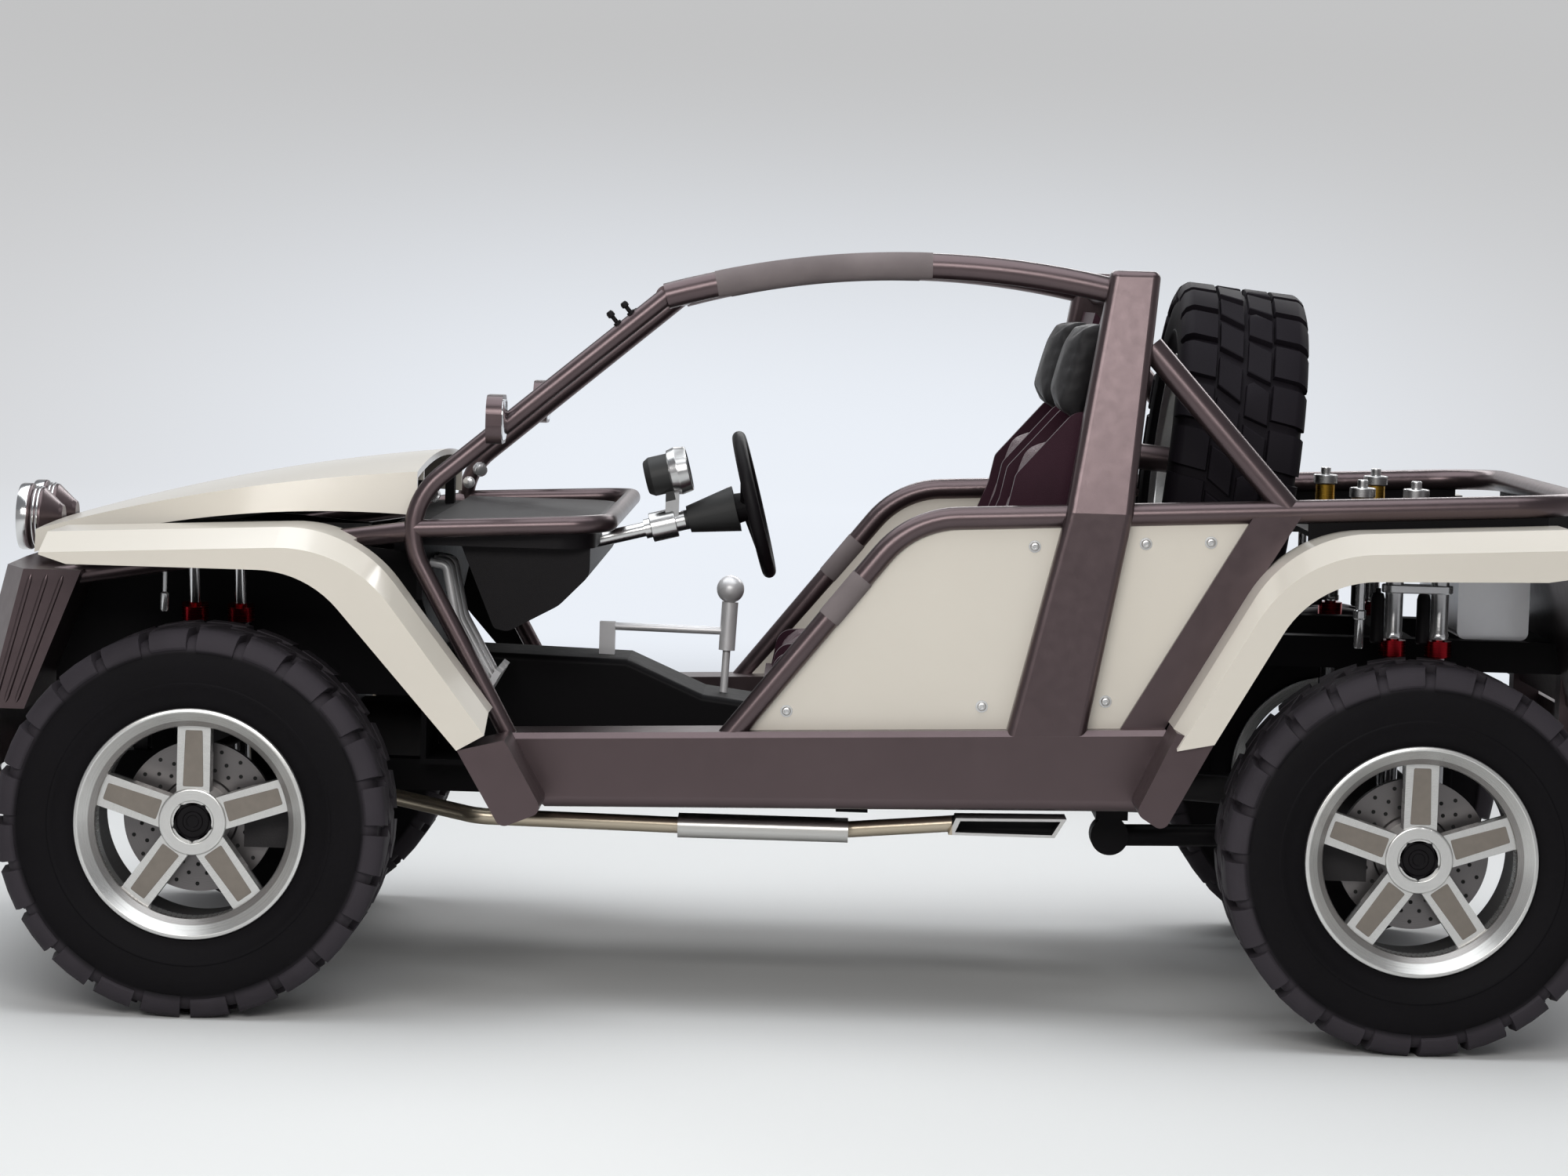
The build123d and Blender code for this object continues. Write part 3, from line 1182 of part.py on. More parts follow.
BALL_RADIUS = 18.0
BALL_HEIGHT = 24.0
ARM_TUBE = 11.0
PIVOT_TUBE = 16.0
LOWER_PIVOT_HEIGHT = 440.0
DAMPER_PERCH_Y = 440.0
DAMPER_PERCH_HEIGHT = 394.0
pivot_y = ladder_outer + PIVOT_TUBE + SEAT_GAP
upper_ball = axle_z + UPRIGHT_HEIGHT / 2 + SEAT_GAP
lower_ball = axle_z - UPRIGHT_HEIGHT / 2 - SEAT_GAP - BALL_HEIGHT
with BuildPart() as front_arms:
    for pivot_height, ball_low, away in (
        (UPPER_PIVOT_HEIGHT, upper_ball, 1),
        (LOWER_PIVOT_HEIGHT, lower_ball, -1),
    ):
        arm_end = ball_low + BALL_HEIGHT / 2 + 6 * away
        slab((front_axle_x - 17, kingpin_y - 44, ball_low + 3),
             (front_axle_x + 17, kingpin_y, ball_low + BALL_HEIGHT - 3))
        with BuildSketch(Plane.XY.offset(ball_low)) as ball_disc:
            with Locations((front_axle_x, kingpin_y)):
                Circle(BALL_RADIUS)
        extrude(ball_disc.sketch, amount=BALL_HEIGHT)
        tube(((front_axle_x - ARM_HALF_SPREAD - 25, pivot_y, pivot_height),
              (front_axle_x + ARM_HALF_SPREAD + 25, pivot_y, pivot_height)), None, PIVOT_TUBE)
        for direction in (-1, 1):
            tube(((front_axle_x + direction * ARM_HALF_SPREAD, pivot_y, pivot_height),
                  (front_axle_x + direction * 6, kingpin_y - 32, arm_end)), None, ARM_TUBE)
    slab((front_axle_x - 118, DAMPER_PERCH_Y - 24, DAMPER_PERCH_HEIGHT - 16),
         (front_axle_x + 118, DAMPER_PERCH_Y + 24, DAMPER_PERCH_HEIGHT))
    mirror(about=Plane.XZ)
    add(driveline.part, mode=Mode.SUBTRACT)
finish(front_arms.part, "front_arms")

DAMPER_HALF_PITCH = 50.0
DAMPER_BODY = 22.0
DAMPER_COLLAR = 29.0
DAMPER_ROD = 14.0
COLLAR_HEIGHT = 820.0


def add_damper(foot, top):
    """Damper from foot to top: body, collar at a set height, then the bright rod."""
    foot = Vector(*foot)
    top = Vector(*top)
    collar = foot + (top - foot) * ((COLLAR_HEIGHT - foot.Z) / (top.Z - foot.Z))
    step = (top - foot).normalized() * 34
    tube((foot, collar), None, DAMPER_BODY)
    tube((collar, collar + step), None, DAMPER_COLLAR)
    tube((collar + step, top), None, DAMPER_ROD)


with BuildPart() as dampers:
    for offset in (-DAMPER_HALF_PITCH, DAMPER_HALF_PITCH):
        add_damper((front_axle_x + offset, DAMPER_PERCH_Y, DAMPER_PERCH_HEIGHT - 10),
                   (front_axle_x + offset, FRONT_RAIL_Y, front_rail_height(front_axle_x + offset)))
        add_damper((rear_axle_x - 20 + offset, PERCH_Y, PERCH_HEIGHT + SEAT_GAP),
                   (rear_axle_x - 20 + offset, PERCH_Y, DECK_HEIGHT - SEAT_GAP))
    mirror(about=Plane.XZ)
    add(front_arms.part, mode=Mode.SUBTRACT)
    add(front_rails.part, mode=Mode.SUBTRACT)
finish(dampers.part, "dampers")

# Exhaust: a pipe, flat silencer and slanted outlet under each sill

PIPE_RADIUS = 18.0
SILENCER_FRONT_X = 259.0
SILENCER_REAR_X = -113.0
SILENCER_Y = 560.0
with BuildPart() as exhaust:
    tube(
        (
            (1062, 190, 575),
            (1062, 385, 575),
            (925, 385, 425),
            (700, 552, 405),
            (SILENCER_FRONT_X, SILENCER_Y, 400),
        ),
        (50, 60, 90),
        PIPE_RADIUS,
    )
    extrude(
        rounded_face(
            cross_plane(SILENCER_REAR_X),
            (
                (SILENCER_Y - 46, 376, 22),
                (SILENCER_Y + 46, 376, 22),
                (SILENCER_Y + 46, 424, 22),
                (SILENCER_Y - 46, 424, 22),
            ),
        ),
        amount=SILENCER_FRONT_X - SILENCER_REAR_X,
    )
    tube(((SILENCER_REAR_X, SILENCER_Y, 402), (-345, 600, 428)), None, PIPE_RADIUS)
    extrude(
        plain_face(side_plane(660), ((-330, 410), (-345, 447), (-585, 452), (-560, 410))),
        amount=90,
    )
    extrude(
        plain_face(side_plane(661), ((-344, 416), (-355, 441), (-572, 446), (-554, 416))),
        amount=60,
        mode=Mode.SUBTRACT,
    )
    mirror(about=Plane.XZ)
    add(engine.part, mode=Mode.SUBTRACT)
finish(exhaust.part, "exhaust")

# Bucket seats: a thin shell with side wings on a pedestal, with cushion, back and head pads

SHELL = 18.0
WING = 24.0
seat_left = SEAT_HALF_PITCH + SEAT_WIDTH / 2
# x, height along the shell's inner line from the cushion's front to the head rest's top
SHELL_LINE = ((90.0, 660.0), (-400.0, 622.0), (-596.0, 1290.0), (-660.0, 1545.0))
WING_OUTLINE = (
    (80.0, 640.0, 20), (60.0, 745.0, 40), (-290.0, 760.0, 80), (-440.0, 1119.0, 60), (-455.0, 1190.0, 30),
    (-578.0, 1330.0, 40), (-640.0, 1330.0, 10), (-440.0, 610.0, 40),
)
with BuildPart() as seat_shells:
    extrude(
        plain_face(
            side_plane(seat_left),
            SHELL_LINE + tuple((x - SHELL, z - SHELL) for x, z in reversed(SHELL_LINE)),
        ),
        amount=SEAT_WIDTH,
    )
    for wing_y in (seat_left, seat_left - SEAT_WIDTH + WING):
        extrude(rounded_face(side_plane(wing_y), WING_OUTLINE), amount=WING)
    slab((-360, SEAT_HALF_PITCH - 140, cabin_floor), (0, SEAT_HALF_PITCH + 140, 628))
    mirror(about=Plane.XZ)
    add(floor_pan.part, mode=Mode.SUBTRACT)
finish(seat_shells.part, "seat_shells")

PAD_GAP = 0.3
pad_left = seat_left - WING - PAD_GAP
pad_width = SEAT_WIDTH - 2 * WING - 2 * PAD_GAP
with BuildPart() as seat_pads:
    extrude(
        rounded_face(
            side_plane(pad_left),
            ((84, 659.9, 20), (66, 740, 36), (-340, 712, 20), (-388, 623.3, 10)),
        ),
        amount=pad_width,
    )
    extrude(
        rounded_face(
            side_plane(pad_left),
            ((-404.9, 640, 10), (-350, 730, 30), (-520, 1265, 40), (-594.1, 1285, 10)),
        ),
        amount=pad_width,
    )
    extrude(
        rounded_face(
            side_plane(SEAT_HALF_PITCH + 120),
            ((-598.1, 1300, 8), (-545, 1335, 24), (-596, 1520, 30), (-655.8, 1530, 8)),
        ),
        amount=240,
    )
    mirror(about=Plane.XZ)
    add(seat_shells.part, mode=Mode.SUBTRACT)
finish(seat_pads.part, "seat_pads")

# Dash tub, steering column with its gauge, steering wheel and controls

DASH_HALF_WIDTH = 540.0
DASH_TOP_HALF_WIDTH = 592.0
DASH_TOP_REAR = 458.0
DASH_TOP_LOW = 1000.0
DASH_TOP = 1048.0
# x, height, corner radius of the bowl under the dash top
DASH_BOWL = (
    (752, DASH_TOP_LOW, 0), (469, DASH_TOP_LOW, 0), (469, 940, 40), (535, 872, 70), (645, 812, 30),
    (676, 818, 16),
)
with BuildPart() as dash_tub:
    slab((DASH_TOP_REAR, -DASH_TOP_HALF_WIDTH, DASH_TOP_LOW), (FIREWALL_X, DASH_TOP_HALF_WIDTH, DASH_TOP))
    fillet(dash_tub.edges().filter_by(Axis.Z).sort_by(Axis.X)[:2], DASH_BAR_BEND)
    top_edges = dash_tub.faces().sort_by(Axis.Z)[-1].edges()
    fillet(top_edges.filter_by(lambda edge: edge.center().X < FIREWALL_X - 1), 18)
    extrude(rounded_face(side_plane(DASH_HALF_WIDTH), DASH_BOWL), amount=2 * DASH_HALF_WIDTH)
finish(dash_tub.part, "dash_tub")

column_axis = Vector(cos(radians(COLUMN_TILT)), 0, -sin(radians(COLUMN_TILT)))
wheel_centre = Vector(WHEEL_X, SEAT_HALF_PITCH, WHEEL_HEIGHT)
hub_plane = Plane(wheel_centre, x_dir=(0, 1, 0), z_dir=-column_axis)
HUB_DROP = 40.0


def on_column(distance):
    """Point on the column's axis, measured forward from the steering wheel's centre."""
    return wheel_centre + column_axis * distance


COLUMN_STEP = 250.0
COLUMN_END = 500.0
GAUGE_REACH = 200.0
GAUGE_HEIGHT = 1163.0
# radius, distance towards the driver, corner radius
BOOT_SECTION = ((0, -HUB_DROP - 110, 0), (30, -HUB_DROP - 110, 0), (52, -HUB_DROP - SEAT_GAP, 0),
                (0, -HUB_DROP - SEAT_GAP, 0))
CLAMP_SECTION = ((0, -236, 0), (33, -236, 2), (33, -178, 2), (0, -178, 0))
CUP_SECTION = ((0, -62, 0), (36, -62, 8), (44, -48, 4), (44, -6, 0), (0, -6, 0))
BEZEL_SECTION = ((0, -6, 0), (50, -6, 3), (54, 12, 4), (50, 38, 4), (44, 38, 0), (44, 30, 0), (0, 30, 0))
with BuildPart() as steering_column:
    tube((on_column(HUB_DROP + SEAT_GAP), on_column(COLUMN_STEP)), None, COLUMN_RADIUS)
    tube((on_column(COLUMN_STEP), on_column(COLUMN_END)), None, 0.75 * COLUMN_RADIUS)
    turn(hub_plane, BOOT_SECTION)
    turn(hub_plane, CLAMP_SECTION)
    gauge_foot = on_column(GAUGE_REACH)
    slab((gauge_foot.X - 26, gauge_foot.Y - 18, gauge_foot.Z),
         (gauge_foot.X + 4, gauge_foot.Y + 18, GAUGE_HEIGHT))
    gauge_plane = Plane((gauge_foot.X - 10, gauge_foot.Y, GAUGE_HEIGHT), x_dir=(0, 1, 0), z_dir=-column_axis)
    turn(gauge_plane, CUP_SECTION)
    turn(gauge_plane, BEZEL_SECTION)
    add(dash_tub.part, mode=Mode.SUBTRACT)
finish(steering_column.part, "steering_column")

with BuildPart() as steering_wheel:
    with BuildSketch(Plane(wheel_centre, x_dir=(0, 1, 0), z_dir=Vector(0, 1, 0).cross(-column_axis))) as grip:
        with Locations((WHEEL_RIM_RADIUS, 0)):
            Circle(WHEEL_GRIP)
    revolve(grip.sketch, axis=Axis(wheel_centre, column_axis))
    turn(hub_plane, ((0, -HUB_DROP, 0), (34, -HUB_DROP, 0), (30, -6, 4), (0, -6, 0)))
    for angle in (90, 210, 330):
        reach = hub_plane.x_dir * cos(radians(angle)) + hub_plane.y_dir * sin(radians(angle))
        tube((on_column(20) + reach * 20, on_column(2) + reach * WHEEL_RIM_RADIUS), None, 9)
finish(steering_wheel.part, "steering_wheel")

PEDAL_YS = (230.0, 330.0, 425.0)
PEDAL_TUBE = 10.0
PEDAL_WIDTH = 64.0
# x, height of the arm's line and of the pad's outline
PEDAL_ARM = ((FIREWALL_X, 952), (794, 946), (768, 822), (690, 684))
PEDAL_PAD = ((664, 712), (698, 652), (710, 660), (676, 720))
with BuildPart() as controls:
    for pedal_y in PEDAL_YS:
        tube(tuple((x, pedal_y, z) for x, z in PEDAL_ARM), (18, 90), PEDAL_TUBE)
        extrude(plain_face(side_plane(pedal_y + PEDAL_WIDTH / 2), PEDAL_PAD), amount=PEDAL_WIDTH)
    tube(((182, 0, 600), (176, 0, 740)), None, 9)
    tube(((176, 0, 738), (171, 0, 850)), None, 19)
    with Locations((171, 0, 880)):
        Sphere(32)
    tube(((180, 0, 782), (454, 0, 786)), None, 9)
    slab((436, -16, 700), (472, 16, 796))
    add(floor_pan.part, mode=Mode.SUBTRACT)
    add(firewall.part, mode=Mode.SUBTRACT)
finish(controls.part, "controls")

# Mirrors clamped to the pillars, and the spare's carrier on the bar behind the seats

with BuildPart() as mirrors:
    with BuildSketch(Plane((652, 0, 1282), x_dir=(0, 1, 0), z_dir=(1, 0, 0))) as mirror_face:
        with Locations((700, 0)):
            RectangleRounded(150, 104, 40)
    extrude(mirror_face.sketch, amount=34)
    tube(((664, 612, 1261), (664, 700, 1261)), None, 12)
    mirror(about=Plane.XZ)
    add(pillar_frame.part, mode=Mode.SUBTRACT)
finish(mirrors.part, "mirrors")

with BuildPart() as spare_carrier:
    spare_centre = Vector(SPARE_X, 0, SPARE_HEIGHT)
    carrier_start = spare_centre - spare_axis * 300
    tube((carrier_start, spare_centre + spare_axis * SPINDLE_END), None, SPINDLE_RADIUS)
    add(main_hoop.part, mode=Mode.SUBTRACT)
    cut_plane = Plane((hoop_top_x + 5, 0, HARNESS_BAR_HEIGHT), x_dir=(0, 1, 0), z_dir=(1, 0, 0))
    split(bisect_by=cut_plane, keep=Keep.BOTTOM)
finish(spare_carrier.part, "spare_carrier")
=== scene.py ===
# %% [markdown]
# # An open off-road concept car
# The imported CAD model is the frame: every tube, panel and wheel already stands where it belongs. This lesson
# dresses it. It gives each surface its finish, and adds the tread, inlays, bolts, sleeves, lamp fittings and
# padded seats that a solid model leaves plain.

# %% Load the frame
import json
from math import cos, pi, radians, sin, sqrt, tau

import bmesh
import bpy
from mathutils import Matrix, Vector
from mathutils.bvhtree import BVHTree


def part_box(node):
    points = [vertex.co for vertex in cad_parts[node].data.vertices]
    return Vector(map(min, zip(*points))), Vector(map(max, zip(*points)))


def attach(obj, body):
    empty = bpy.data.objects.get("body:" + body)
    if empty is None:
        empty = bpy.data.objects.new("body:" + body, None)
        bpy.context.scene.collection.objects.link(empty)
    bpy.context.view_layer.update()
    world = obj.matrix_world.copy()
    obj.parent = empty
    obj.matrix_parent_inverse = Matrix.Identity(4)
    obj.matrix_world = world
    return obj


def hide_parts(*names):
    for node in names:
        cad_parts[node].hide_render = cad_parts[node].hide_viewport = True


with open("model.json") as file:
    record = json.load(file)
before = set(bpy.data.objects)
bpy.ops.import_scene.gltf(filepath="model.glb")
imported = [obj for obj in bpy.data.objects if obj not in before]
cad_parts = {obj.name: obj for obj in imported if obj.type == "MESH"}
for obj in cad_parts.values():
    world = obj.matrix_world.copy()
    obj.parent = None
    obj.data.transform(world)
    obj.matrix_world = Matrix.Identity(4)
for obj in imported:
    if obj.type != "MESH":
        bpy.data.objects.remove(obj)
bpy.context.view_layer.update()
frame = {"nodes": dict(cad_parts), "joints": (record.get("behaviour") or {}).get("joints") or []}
nodes = frame["nodes"]
joint_place = {joint["name"]: Vector(joint["pos_m"]) for joint in frame["joints"]}

# %% [markdown]
# ## Camera
# The photograph is a long-lens side view from the car's left. Its place, tilt and lens were worked out from
# the wheels, sills and rails, so the camera is set from those few numbers and nothing is shifted.

# %% Camera
PHOTO_WIDTH_PX = 2000
FOCAL_LENGTH_PX = 5122.3
SENSOR_MM = 36.0
CAMERA_PLACE = Vector((-0.0226, 9.300, 1.5732))
CAMERA_YAW = radians(-0.429)
CAMERA_PITCH = radians(4.223)
CAMERA_ROLL = radians(1.733)


def turned_pair(first, second, angle):
    """Two axes turned in their own plane."""
    return first * cos(angle) - second * sin(angle), second * cos(angle) + first * sin(angle)


right, forward, up = Vector((-1, 0, 0)), Vector((0, -1, 0)), Vector((0, 0, 1))
right, forward = turned_pair(right, forward, CAMERA_YAW)
forward, up = turned_pair(forward, up, CAMERA_PITCH)
up, right = turned_pair(up, right, CAMERA_ROLL)
camera_data = bpy.data.cameras.new("photo_camera")
camera_data.sensor_width = SENSOR_MM
camera_data.lens = SENSOR_MM * FOCAL_LENGTH_PX / PHOTO_WIDTH_PX
camera = bpy.data.objects.new("photo_camera", camera_data)
camera.matrix_world = Matrix.Translation(CAMERA_PLACE) @ Matrix((right, up, -forward)).transposed().to_4x4()
bpy.context.scene.collection.objects.link(camera)
bpy.context.scene.camera = camera
bpy.context.scene.view_settings.view_transform = "Standard"
print("lens", round(camera_data.lens, 1), "mm")

# %% [markdown]
# ## One class for node maths
# A finish is easier to read as an expression than as a web of links. Value wraps one socket and turns Python
# operators into Math nodes, and Nodes.make adds any other node from its type, settings and sockets.

# %% Node maths


class Value:
    """One output socket that can be used in Python arithmetic."""

    def __init__(self, nodes, socket):
        self.nodes = nodes
        self.socket = socket

    def math(self, operation, *others):
        return self.nodes.math(operation, self, *others)

    def __add__(self, other):
        return self.math("ADD", other)

    __radd__ = __add__

    def __sub__(self, other):
        return self.math("SUBTRACT", other)

    def __rsub__(self, other):
        return self.nodes.math("SUBTRACT", other, self)

    def __mul__(self, other):
        return self.math("MULTIPLY", other)

    __rmul__ = __mul__

    def __truediv__(self, other):
        return self.math("DIVIDE", other)

    def __rtruediv__(self, other):
        return self.nodes.math("DIVIDE", other, self)

    def __pow__(self, other):
        return self.math("POWER", other)

    def __abs__(self):
        return self.math("ABSOLUTE")

    def __gt__(self, other):
        return self.math("GREATER_THAN", other)

    def __lt__(self, other):
        return self.math("LESS_THAN", other)

    def sqrt(self):
        return self.math("SQRT")

    def between(self, low, high):
        return (self > low) * (self < high)

    def ramp(self, low, high):
        """0 below low, 1 above high, smooth between."""
        return self.nodes.make("ShaderNodeMapRange", {"interpolation_type": "SMOOTHSTEP"},
                               {"Value": self, "From Min": low, "From Max": high})


class Nodes:
    """A node tree that grows by expressions."""

    def __init__(self, tree):
        self.tree = tree

    def make(self, kind, settings=None, inputs=None, output=0):
        node = self.tree.nodes.new(kind)
        for name, setting in (settings or {}).items():
            setattr(node, name, setting)
        for key, value in (inputs or {}).items():
            self.feed(node.inputs[key], value)
        return Value(self, node.outputs[output])

    def feed(self, socket, value):
        if isinstance(value, Value):
            self.tree.links.new(value.socket, socket)
        else:
            socket.default_value = value

    def math(self, operation, *terms):
        return self.make("ShaderNodeMath", {"operation": operation}, dict(enumerate(terms)))


print("node maths ready")

# %% [markdown]
# ## One class for finishes
# A finish is a material whose pattern is fixed to its object, so it stays put when a piece moves. Finish
# sets the shader's constants directly and offers the patterns that paint, metal and hide share.

# %% Finish class


class Finish(Nodes):
    """A material on Object coordinates, with its shader's constants set directly."""

    def __init__(self, name, colour, roughness, **constants):
        self.material = bpy.data.materials.new(name)
        self.material.use_nodes = True
        super().__init__(self.material.node_tree)
        self.shader = self.tree.nodes["Principled BSDF"]
        self.colour = (*colour, 1.0)
        self.set(base_color=self.colour, roughness=roughness, **constants)
        self.place = self.make("ShaderNodeTexCoord", output="Object")
        self.x, self.y, self.z = (self.part(self.place, axis) for axis in "XYZ")

    def set(self, **sockets):
        for name, value in sockets.items():
            title = name.replace("_", " ").title().replace("Ior", "IOR")
            self.feed(self.shader.inputs[title], value)
        return self

    def part(self, vector, axis):
        return self.make("ShaderNodeSeparateXYZ", None, {0: vector}, output=axis)

    def noise(self, scale, detail=2.0, vector=None):
        return self.make("ShaderNodeTexNoise", None,
                         {"Vector": vector or self.place, "Scale": scale, "Detail": detail})

    def lines(self, value, scale):
        """Uneven fine lines along one value, as a lathe or a brush leaves."""
        return self.make("ShaderNodeTexNoise", {"noise_dimensions": "1D"},
                         {"W": value * scale, "Scale": 1.0, "Detail": 3.0})

    def cells(self, scale, feature):
        return self.make("ShaderNodeTexVoronoi", {"feature": feature},
                         {"Vector": self.place, "Scale": scale, "Randomness": 1.0})

    def mix(self, factor, first, second):
        return self.make("ShaderNodeMix", {"data_type": "RGBA"}, {0: factor, 6: first, 7: second}, output=2)

    def tint(self, factor, amount):
        """The base colour made lighter and darker by a share of itself."""
        low = tuple(channel * (1 - amount) for channel in self.colour[:3]) + (1.0,)
        high = tuple(min(1.0, channel * (1 + amount)) for channel in self.colour[:3]) + (1.0,)
        return self.mix(factor, low, high)

    def bump(self, height, distance, strength=1.0):
        relief = self.make("ShaderNodeBump", None,
                           {"Strength": strength, "Distance": distance, "Height": height})
        return self.set(normal=relief)


print("finish class ready")

# %% [markdown]
# ## Meshes from rings
# Most added pieces are skins over rings of points, as a hull is over its frames. skin lays the faces between
# neighbouring rings and closes the rings named as caps. skinned does the same from plain points, and turns
# the faces outward.

# %% Mesh helpers


def circle(radius, segments):
    angles = [tau * step / segments for step in range(segments)]
    return [(radius * cos(angle), radius * sin(angle)) for angle in angles]


def skin(work, rings, caps=()):
    for near, far in zip(rings, rings[1:]):
        for place in range(len(near)):
            after = (place + 1) % len(near)
            corners = dict.fromkeys((near[place], near[after], far[after], far[place]))
            if len(corners) > 2:
                work.faces.new(tuple(corners))
    for ring in caps:
        work.faces.new(ring)


def mesh_of(work, name):
    mesh = bpy.data.meshes.new(name)
    work.to_mesh(mesh)
    work.free()
    return mesh


def outward_mesh(work, name):
    bmesh.ops.recalc_face_normals(work, faces=work.faces)
    return mesh_of(work, name)


def skinned(rows, name, capped=True):
    """A mesh over rows of points, closed at its first and last rows if capped."""
    work = bmesh.new()
    rings = [[work.verts.new(point) for point in row] for row in rows]
    skin(work, rings, (rings[0], rings[-1]) if capped else ())
    return outward_mesh(work, name)


print("mesh helpers ready")

# %% [markdown]
# ## Stage and light
# A studio photograph: a pale floor that sweeps up into a wall all round, one broad soft box overhead, a long
# one above the camera and a strip behind that edges the tubes. The paper glows by itself far from the car,
# as lit paper does, from white at the horizon to grey at the top.

# %% Stage and light
FLOOR_COLOUR = (0.775, 0.78, 0.775, 1.0)
WALL_COLOUR = (0.20, 0.20, 0.20, 1.0)
NO_GLOW = (0.0, 0.0, 0.0, 1.0)
HORIZON_GLOW = (0.76, 0.80, 0.86, 1.0)
EDGE_GLOW = (0.58, 0.585, 0.595, 1.0)
TOP_GLOW = (0.46, 0.46, 0.46, 1.0)
NEAR_GLOW = (0.24, 0.24, 0.245, 1.0)
FLOOR_RADIUS = 20.0
WALL_BEND = 5.0
WALL_HEIGHT = 10.0
BEND_STEPS = 16
BOWL_SIDES = 64


def bowl_sheet():
    """Round floor that bends up into a wall."""
    profile = [(FLOOR_RADIUS * share, 0.0) for share in (0.25, 0.5, 0.75, 1.0)]
    for step in range(1, BEND_STEPS + 1):
        angle = pi / 2 * step / BEND_STEPS
        profile.append((FLOOR_RADIUS + WALL_BEND * sin(angle), WALL_BEND * (1 - cos(angle))))
    profile.append((FLOOR_RADIUS + WALL_BEND, WALL_HEIGHT))
    sheet = bmesh.new()
    rows = [[sheet.verts.new((x, y, height)) for x, y in circle(radius, BOWL_SIDES)]
            for radius, height in profile]
    skin(sheet, rows[::-1], rows[:1])
    for face in sheet.faces:
        face.smooth = True
    return sheet


paper = Finish("studio_paper", FLOOR_COLOUR[:3], 0.9, specular_ior_level=0.1, emission_strength=1.0)
far_share = (paper.x * paper.x + paper.y * paper.y).sqrt().ramp(3.2, 9.0)
horizon = paper.mix(abs(paper.x).ramp(1.2, 8.0), HORIZON_GLOW, EDGE_GLOW)
behind = paper.mix(paper.z.ramp(0.2, 3.8), horizon, TOP_GLOW)
glow = paper.mix(paper.y.ramp(-6.0, 9.0), behind, NEAR_GLOW)
paper.set(base_color=paper.mix(far_share, FLOOR_COLOUR, WALL_COLOUR))
paper.set(emission_color=paper.mix(far_share, NO_GLOW, glow))
backdrop = bpy.data.objects.new("studio_sweep", mesh_of(bowl_sheet(), "studio_sweep"))
backdrop.data.materials.append(paper.material)
bpy.context.scene.collection.objects.link(backdrop)

# name, place, aims at, size across, size along, watts, colour
SOFT_BOXES = (
    ("overhead_box", (0.7, 0.3, 4.8), (0.4, 0.0, 0.6), 7.0, 4.4, 225.0, (0.95, 0.98, 1.0)),
    ("camera_box", (0.8, 6.2, 3.2), (0.4, 0.0, 0.9), 5.0, 1.6, 180.0, (1.0, 0.985, 0.96)),
    ("back_strip", (-1.5, -3.6, 3.4), (0.0, 0.0, 0.9), 5.0, 1.0, 90.0, (1.0, 1.0, 1.0)),
)
for name, place, target, across, along, watts, colour in SOFT_BOXES:
    lamp = bpy.data.lights.new(name, "AREA")
    lamp.shape = "RECTANGLE"
    lamp.size = across
    lamp.size_y = along
    lamp.energy = watts
    lamp.color = colour
    holder = bpy.data.objects.new(name, lamp)
    holder.location = place
    holder.rotation_euler = (Vector(target) - Vector(place)).to_track_quat("-Z", "Y").to_euler()
    bpy.context.scene.collection.objects.link(holder)

world = bpy.data.worlds.new("studio_air")
world.use_nodes = True
world.node_tree.nodes["Background"].inputs["Color"].default_value = (0.92, 0.94, 1.0, 1.0)
world.node_tree.nodes["Background"].inputs["Strength"].default_value = 0.22
bpy.context.scene.world = world
print("soft boxes", len(SOFT_BOXES))

# %% [markdown]
# ## Painted finishes
# The skins are a cream satin enamel with a clear coat and a faint orange peel. The cage and sills are a dark
# warm metallic: flakes make it sparkle a little, so a fine noise moves the colour and the roughness. Inside
# the wheel arches, faces turned toward the axle or inboard are painted black as shade, picked out by a mask of
# face direction on the same piece.

# %% Painted finishes
CREAM = (0.66, 0.615, 0.540)
TAUPE = (0.108, 0.080, 0.084)
SOFT_BLACK = (0.0045, 0.004, 0.0048)
front_hub = (joint_place["roll_front_left"] + joint_place["roll_front_right"]) / 2
rear_hub = (joint_place["roll_rear_left"] + joint_place["roll_rear_right"]) / 2
middle_x = (front_hub.x + rear_hub.x) / 2
half_base = (front_hub.x - rear_hub.x) / 2


def cream_paint(name, paint_arch_shade=False):
    finish = Finish(name, CREAM, 0.34, coat_weight=0.55, coat_roughness=0.12)
    cloud = finish.noise(3.0, 4.0)
    colour = finish.tint(cloud, 0.035)
    finish.bump(finish.noise(420.0), 0.0002, 0.25)
    finish.set(roughness=0.30 + 0.08 * finish.noise(26.0, 4.0))
    if paint_arch_shade:
        normal = finish.make("ShaderNodeNewGeometry", output="Normal")
        along = abs(finish.x - middle_x) - half_base
        outward = finish.y.math("SIGN") * finish.part(normal, "Y")
        fore = (finish.x - middle_x).math("SIGN") * finish.part(normal, "X")
        radial = along * fore + (finish.z - front_hub.z) * finish.part(normal, "Z")
        # Painted shade: arch faces turned toward the axle or inboard are made black, with less coat and more
        # roughness.
        arch_shade = ((radial < -0.06) + (outward < -0.5)).math("MINIMUM", 1.0)
        colour = finish.mix(arch_shade, colour, (*SOFT_BLACK, 1.0))
        finish.set(coat_weight=0.55 - 0.5 * arch_shade, roughness=0.32 + 0.4 * arch_shade)
    finish.set(base_color=colour)
    return finish.material


